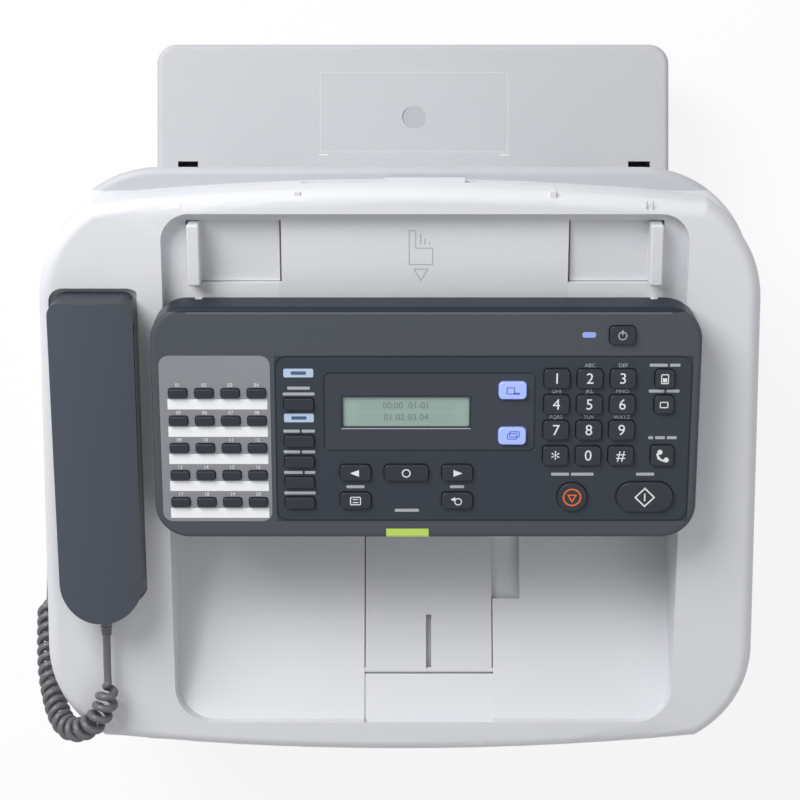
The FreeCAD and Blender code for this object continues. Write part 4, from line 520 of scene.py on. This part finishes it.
# Speed-dial numbers and cards, function captions and display; what repeats in rows is a Geometry Nodes tree.
def make_bar_grid():
    """A tree that repeats one flat bar over a grid of columns and rows."""
    tree = bpy.data.node_groups.new("bar_grid", "GeometryNodeTree")
    tree.is_modifier = True
    for label, kind, value in (
        ("Columns", "NodeSocketInt", 1), ("Rows", "NodeSocketInt", 1),
        ("Step", "NodeSocketVector", (1, 1, 0)),
        ("Size", "NodeSocketVector", (1, 1, 0.05)), ("Ink", "NodeSocketMaterial", None),
    ):
        socket = tree.interface.new_socket(label, in_out="INPUT", socket_type=kind)
        if value is not None:
            socket.default_value = value
    tree.interface.new_socket("Geometry", in_out="OUTPUT", socket_type="NodeSocketGeometry")
    nodes, links = tree.nodes, tree.links
    given, out = nodes.new("NodeGroupInput"), nodes.new("NodeGroupOutput")
    split = nodes.new("ShaderNodeSeparateXYZ")
    links.new(given.outputs["Step"], split.inputs[0])
    lines = []
    for axis, count in (("X", "Columns"), ("Y", "Rows")):
        line = nodes.new("GeometryNodeMeshLine")
        links.new(given.outputs[count], line.inputs["Count"])
        join = nodes.new("ShaderNodeCombineXYZ")
        links.new(split.outputs[axis], join.inputs[axis])
        links.new(join.outputs[0], line.inputs["Offset"])
        lines.append(line)
    spread = nodes.new("GeometryNodeInstanceOnPoints")
    links.new(lines[1].outputs["Mesh"], spread.inputs["Points"])
    links.new(lines[0].outputs["Mesh"], spread.inputs["Instance"])
    points = nodes.new("GeometryNodeRealizeInstances")
    links.new(spread.outputs["Instances"], points.inputs["Geometry"])
    brick = nodes.new("GeometryNodeMeshCube")
    links.new(given.outputs["Size"], brick.inputs["Size"])
    place = nodes.new("GeometryNodeInstanceOnPoints")
    links.new(points.outputs["Geometry"], place.inputs["Points"])
    links.new(brick.outputs["Mesh"], place.inputs["Instance"])
    real = nodes.new("GeometryNodeRealizeInstances")
    links.new(place.outputs["Instances"], real.inputs["Geometry"])
    paint = nodes.new("GeometryNodeSetMaterial")
    links.new(real.outputs["Geometry"], paint.inputs["Geometry"])
    links.new(given.outputs["Ink"], paint.inputs["Material"])
    links.new(paint.outputs["Geometry"], out.inputs["Geometry"])
    return tree


BAR_GRID = make_bar_grid()


def bar_grid(name, body, ink, start, step, counts, size, z):
    """Repeats a bar of that size from its first middle over columns and rows on the leaning frame."""
    obj = add_object(name, bpy.data.meshes.new(name))
    rows = obj.modifiers.new("rows", "NODES")
    rows.node_group = BAR_GRID
    values = {"Columns": counts[0], "Rows": counts[1], "Step": (*step, 0.0),
              "Size": (*size, PRINT_THICK), "Ink": ink}
    for item in BAR_GRID.interface.items_tree:
        if item.name in values and item.in_out == "INPUT":
            rows[item.identifier] = values[item.name]
    mesh = evaluated_mesh(obj)
    obj.modifiers.remove(rows)
    mesh.transform(LEAN @ Matrix.Translation((*start, z + PRINT_THICK / 2)))
    obj.data = mesh
    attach(obj, body)


SPEED_X, SPEED_Y, SPEED_STEP_X, SPEED_STEP_Y = -108.9, 3.3, 12.85, 14.15
SPEED_COLUMNS, SPEED_ROWS = 4, 5
CARD_DROP, CARD_SIZE = 5.7, (49.0, 5.2)
NUMBER_RISE, NUMBER_TALL = 4.1, 1.8
bar_grid("speed_dial_cards", "panel", STRIP_CARD,
         (SPEED_X + (SPEED_COLUMNS - 1) / 2 * SPEED_STEP_X, SPEED_Y - CARD_DROP),
         (0, -SPEED_STEP_Y), (1, SPEED_ROWS), CARD_SIZE, FACE)
for n in range(SPEED_COLUMNS * SPEED_ROWS):
    row, column = divmod(n, SPEED_COLUMNS)
    PRINTS.text("panel", WHITE_INK, f"{n + 1:02d}", SPEED_X + column * SPEED_STEP_X,
                SPEED_Y - row * SPEED_STEP_Y + NUMBER_RISE, FACE, NUMBER_TALL)

# Captions beside the keys are bars in the place of words, given as the letters in each word.
FUNCTION_X, FUNCTION_ROWS = -49.7, (-2.1, -21.2, -31.95, -42.7, -53.45)
FUNCTION_WORDS = ((8,), (5, 4), (5, 4), (7, 4), (10,))
FUNCTION_RISE, FUNCTION_WIDE = 5.0, 15.5
TAG_ROWS, TAG_SIZE, TAG_WORD_SIZE = (13.6, -9.4), (14.6, 4.4), (7.4, 1.7)
WORD_TALL, WORD_GAP, WORD_CORNER = 1.5, 1.0, 0.4


def caption(x, y, width, words):
    """Each bar has its word's share of the width."""
    room = width - WORD_GAP * (len(words) - 1)
    left = x - width / 2
    for letters in words:
        part = room * letters / sum(words)
        bar("panel", GREY_INK, left + part / 2, y, part, WORD_TALL, FACE, WORD_CORNER)
        left += part + WORD_GAP


for y, words in zip(FUNCTION_ROWS, FUNCTION_WORDS):
    caption(FUNCTION_X, y + FUNCTION_RISE, FUNCTION_WIDE, words)
caption(FUNCTION_X, FUNCTION_ROWS[0] + 8.0, 11.0, (6,))
for y in TAG_ROWS:
    bar("panel", BLUE_TAG, FUNCTION_X, y, *TAG_SIZE, FACE, 0.8)
    bar("panel", TAG_INK, FUNCTION_X, y, *TAG_WORD_SIZE, FACE + PRINT_THICK, 0.3)
CAPTIONS = [(NAV_X - NAV_STEP, -45.2, 9.0, (4,)), (BACK_X, -45.2, 7.0, (4,)), (3.4, -57.6, 12.0, (6,)),
            (STOP_X, -38.6, 21.0, (4, 5)), (START_X, -38.6, 9.0, (5,)), (SIDE_X, DIGIT_Y + 6.6, 15.0, (7, 4)),
            (SIDE_X, DIGIT_Y - 6.6, 15.0, (6, 5)), (SIDE_X, -19.6, 14.0, (2, 4, 4))]
for x, y, width, words in CAPTIONS:
    caption(x, y, width, words)

LCD_X, LCD_Y, LCD_WIDE, LCD_TALL, LCD_TOP = 3.0, -6.5, 62.4, 15.4, 20.8
CELL_STEP, CELL_SIZE, CELL_COUNTS = (3.0, -6.0), (2.5, 4.6), (16, 2)
LINE_RISE, CHARACTER_TALL = 3.0, 3.2
bar_grid("display_cells", "panel", CELL_TONE,
         (LCD_X - (CELL_COUNTS[0] - 1) / 2 * CELL_STEP[0], LCD_Y + LINE_RISE),
         CELL_STEP, CELL_COUNTS, CELL_SIZE, LCD_TOP)
for words, rise in (("00:00  01-01", LINE_RISE), ("01 02 03 04", -LINE_RISE)):
    PRINTS.text("panel", CELL_INK, words, LCD_X, LCD_Y + rise, LCD_TOP + PRINT_THICK, CHARACTER_TALL)
frame_line("panel", DARK_KEY, LCD_X, LCD_Y, LCD_WIDE + 2.0, LCD_TALL + 2.0, 0.8)
bar("panel", GREY_INK, LCD_X, LCD_Y - LCD_TALL / 2 - 0.7, LCD_WIDE + 1.0, 0.5, FACE + PRINT_THICK)

# Moulded marks on the feed deck: a sheet with its corner and a turning arrow, and two paper widths.
DECK = -8.0
SHEET = [(4.3, 60.6), (16.4, 60.6), (16.4, 69.4), (8.0, 69.4), (8.0, 78.2), (4.3, 78.2)]
SHEET_INNER = [(4.8, 61.1), (15.9, 61.1), (15.9, 68.9), (7.5, 68.9), (7.5, 77.7), (4.8, 77.7)]
PRINTS.outline("body", MOULD_MARK, [SHEET, SHEET_INNER], DECK)
for n, tall in enumerate((5.4, 3.0, 1.2)):
    bar("body", MOULD_MARK, 10.2 + 2.2 * n, 71.0 + tall / 2, 0.6, tall, DECK)
ARROW_X, ARROW_Y = 10.4, 56.6
PRINTS.outline("body", MOULD_MARK, [circle(ARROW_X, ARROW_Y, 4.4, 3, POINT_DOWN),
                                    circle(ARROW_X, ARROW_Y, 3.4, 3, POINT_DOWN)], DECK)
for x in (120.5, 123.5):
    bar("body", MOULD_MARK, x, 92.5, 0.6, 4.0, 0.0)

# Rear cover: a bare label field with corner ticks, and the round mark of its moulding gate.
COVER_TOP = 72.0
LABEL_X, LABEL_Y, LABEL_WIDE, LABEL_TALL = 7.8, 154.5, 105.2, 45.0
GATE_X, GATE_Y = 8.1, 151.8


def on_cover(ink, rings, lift=0.0):
    PRINTS.outline("body", ink, rings, COVER_TOP + lift, PRINT_THICK, level_point)


on_cover(COVER_EDGE, [block(LABEL_X, LABEL_Y, LABEL_WIDE, LABEL_TALL, 0.5),
                      block(LABEL_X, LABEL_Y, LABEL_WIDE - 0.7, LABEL_TALL - 0.7, 0.2)])
for side in (-1, 1):
    on_cover(WHITE_INK, [block(LABEL_X + side * (LABEL_WIDE / 2 - 2.0), LABEL_Y - LABEL_TALL / 2 - 1.4,
                               5.2, 0.5)])
on_cover(COVER_MARK, [circle(GATE_X, GATE_Y, 6.2)], PRINT_THICK)
for radius in (5.8, 3.8, 1.8):
    on_cover(GREY_SHELL, [circle(GATE_X, GATE_Y, radius), circle(GATE_X, GATE_Y, radius - 0.35)],
             2 * PRINT_THICK)
PRINTS.finish()


# Curly handset cord on a smooth route from the handset's tip to its jack.
ROUTE = [
    leaning_point(-151, -116.2, 7), leaning_point(-151, -132.2, 7), leaning_point(-151.5, -150, 7),
    leaning_point(-151, -167, 9), leaning_point(-160, -182, 11), Vector((-177, -181, 143)) * MM,
    Vector((-189, -158, 116)) * MM, Vector((-193, -128, 94)) * MM, Vector((-194.5, -114, 78)) * MM,
    Vector((-194.5, -88, 78)) * MM, Vector((-181, -88, 78)) * MM,
]
WIRE_RADIUS, CURL_RADIUS, CURL_PITCH = 2.0 * MM, 4.6 * MM, 6.3 * MM
COIL_START, COIL_TAIL = 40 * MM, 38 * MM
LEAST_STEP = 0.05 * MM
HANDSET_TIP = leaning_point(-151, -118.1, 7)


def route_points():
    """Closely spaced points of the route's smooth line."""
    curve = bpy.data.curves.new("route", "CURVE")
    curve.dimensions = "3D"
    line = curve.splines.new("NURBS")
    line.points.add(len(ROUTE) - 1)
    for spot, place in zip(line.points, ROUTE):
        spot.co = (*place, 1.0)
    line.order_u = 3
    line.use_endpoint_u = True
    line.resolution_u = 160
    obj = add_object("route", curve)
    mesh = evaluated_mesh(obj)
    points = [mesh.vertices[0].co.copy()]
    for v in mesh.vertices:
        if (v.co - points[-1]).length > LEAST_STEP:
            points.append(v.co.copy())
    bpy.data.objects.remove(obj)
    bpy.data.meshes.remove(mesh)
    return points


def curled_wire():
    """Points of the wire: straight at both ends and wound round the route between them."""
    route = route_points()
    lengths = [0.0]
    for a, b in zip(route, route[1:]):
        lengths.append(lengths[-1] + (b - a).length)
    total = lengths[-1]
    ramp = 1.5 * CURL_PITCH
    side = Vector((1, 0, 0))
    wire = []
    for i, (s, middle) in enumerate(zip(lengths, route)):
        way = (route[min(i + 1, len(route) - 1)] - route[max(i - 1, 0)]).normalized()
        side = (side - way * side.dot(way)).normalized()
        rise = min(max((s - COIL_START) / ramp, 0), 1, max((total - COIL_TAIL - s) / ramp, 0))
        swell = CURL_RADIUS * rise * rise * (3 - 2 * rise)
        turn = 2 * math.pi * (s - COIL_START) / CURL_PITCH
        wire.append(middle + (side * math.cos(turn) + way.cross(side) * math.sin(turn)) * swell)
    return wire


def make_cord():
    """The wire's tube, which stretches between its jack and the handset."""
    wire = curled_wire()
    bm = bmesh.new()
    sides = 10
    rings = []
    normal = Vector((1, 0, 0))
    for i, point in enumerate(wire):
        way = (wire[min(i + 1, len(wire) - 1)] - wire[max(i - 1, 0)]).normalized()
        normal = (normal - way * normal.dot(way)).normalized()
        across = way.cross(normal)
        rings.append([bm.verts.new(point + (normal * math.cos(a) + across * math.sin(a)) * WIRE_RADIUS)
                      for a in (2 * math.pi * k / sides for k in range(sides))])
    for one, two in zip(rings, rings[1:]):
        Prints.band(bm, one, two)
    bm.faces.new(list(reversed(rings[0])))
    bm.faces.new(rings[-1])
    for face in bm.faces:
        face.smooth = len(face.verts) == 4
    cord = add_object("curly_cord", plain_mesh(bm, "curly_cord", CORD_JACKET))
    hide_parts("handset_cord")
    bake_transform(cord)


make_cord()


def make_boot():
    """The handset's strain relief: a ribbed sleeve that narrows along the lead."""
    length, wide, narrow = 13.4 * MM, 3.4 * MM, 2.3 * MM
    ribs, rib_step, taper, groove = 6, 2.0 * MM, 0.13 * MM, 0.4 * MM
    profile = [(0.0, WIRE_RADIUS), (0.0, wide)]
    for rib in range(ribs):
        start, radius = 0.8 * MM + rib_step * rib, wide - taper * rib
        profile += [(start, radius), (start + 0.3 * MM, radius - groove), (start + 1.0 * MM, radius - groove),
                    (start + 1.3 * MM, radius - 0.1 * MM)]
    profile += [(length, narrow), (length, WIRE_RADIUS)]
    root, way = HANDSET_TIP, (ROUTE[1] - ROUTE[0]).normalized()
    side = Vector((1, 0, 0))
    across = way.cross(side)
    count = 28
    bm = bmesh.new()
    rings = []
    for along, radius in profile:
        rings.append([bm.verts.new(root + way * along + (side * math.cos(a) + across * math.sin(a)) * radius)
                      for a in (2 * math.pi * k / count for k in range(count))])
    for one, two in zip(rings, rings[1:] + rings[:1]):
        Prints.band(bm, one, two)
    bmesh.ops.recalc_face_normals(bm, faces=bm.faces)
    boot = add_object("cord_boot", plain_mesh(bm, "cord_boot", CORD_JACKET))
    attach(boot, "handset")


make_boot()


# Floor, light and camera.
def seen_rays(nodes, links):
    """One for a ray by which the background is seen, straight or in gloss or glass."""
    path = nodes.new("ShaderNodeLightPath")
    rays = path.outputs["Is Camera Ray"]
    for label in ("Is Glossy Ray", "Is Transmission Ray"):
        either = nodes.new("ShaderNodeMath")
        either.operation = "MAXIMUM"
        links.new(rays, either.inputs[0])
        links.new(path.outputs[label], either.inputs[1])
        rays = either.outputs[0]
    return rays


FLOOR_REACH = 3.0
FLOOR_GLOW = 0.85
WORLD_LIGHT, WORLD_SEEN = 0.36, 0.95
LAMP_AIM = Vector((0, 0, 0.15))
LAMPS = (("key_light", (-0.75, 0.75, 1.25), 0.9, 22.0), ("fill_light", (1.0, -0.7, 1.6), 1.4, 5.0))
CAMERA_PLACE = (0, -0.0066, 1.28)
CAMERA_LENS, CAMERA_SENSOR = 97.155, 36.0


def make_floor():
    """A plain pale floor that keeps the object's shadow and is seen as nearly white."""
    floor = add_object("floor", bpy.data.meshes.new("floor"))
    corners = [(x * FLOOR_REACH, y * FLOOR_REACH, 0) for x, y in ((-1, -1), (1, -1), (1, 1), (-1, 1))]
    floor.data.from_pydata(corners, [], [(0, 1, 2, 3)])
    pale = bpy.data.materials.new("pale_floor")
    pale.use_nodes = True
    nodes, links = pale.node_tree.nodes, pale.node_tree.links
    shader = nodes["Principled BSDF"]
    shader.inputs["Base Color"].default_value = (0.86, 0.86, 0.87, 1)
    shader.inputs["Roughness"].default_value = 0.9
    glow = nodes.new("ShaderNodeEmission")
    mix = nodes.new("ShaderNodeMixShader")
    rays = seen_rays(nodes, links)
    share = nodes.new("ShaderNodeMath")
    share.operation = "MULTIPLY"
    share.inputs[1].default_value = FLOOR_GLOW
    links.new(rays, share.inputs[0])
    links.new(share.outputs[0], mix.inputs[0])
    links.new(shader.outputs[0], mix.inputs[1])
    links.new(glow.outputs[0], mix.inputs[2])
    links.new(mix.outputs[0], nodes["Material Output"].inputs["Surface"])
    floor.data.materials.append(pale)


def make_light():
    """An even pale surround, a soft key light from the rear left and a weak fill."""
    world = bpy.data.worlds.new("studio")
    bpy.context.scene.world = world
    world.use_nodes = True
    nodes, links = world.node_tree.nodes, world.node_tree.links
    nodes["Background"].inputs["Color"].default_value = (0.97, 0.98, 1.0, 1)
    level = nodes.new("ShaderNodeMapRange")
    level.inputs["To Min"].default_value = WORLD_LIGHT
    level.inputs["To Max"].default_value = WORLD_SEEN
    links.new(seen_rays(nodes, links), level.inputs["Value"])
    links.new(level.outputs["Result"], nodes["Background"].inputs["Strength"])
    for name, place, size, power in LAMPS:
        lamp = bpy.data.lights.new(name, "AREA")
        lamp.size = size
        lamp.energy = power
        holder = add_object(name, lamp)
        holder.location = place
        holder.rotation_euler = (LAMP_AIM - Vector(place)).to_track_quat("-Z", "Y").to_euler()


def make_camera():
    """Straight down over the lid, as the photograph was taken."""
    camera = bpy.data.cameras.new("camera")
    camera.lens = CAMERA_LENS
    camera.sensor_width = CAMERA_SENSOR
    holder = add_object("camera", camera)
    holder.location = CAMERA_PLACE
    bpy.context.scene.camera = holder


make_floor()
make_light()
make_camera()
bpy.context.scene.view_settings.view_transform = "Standard"
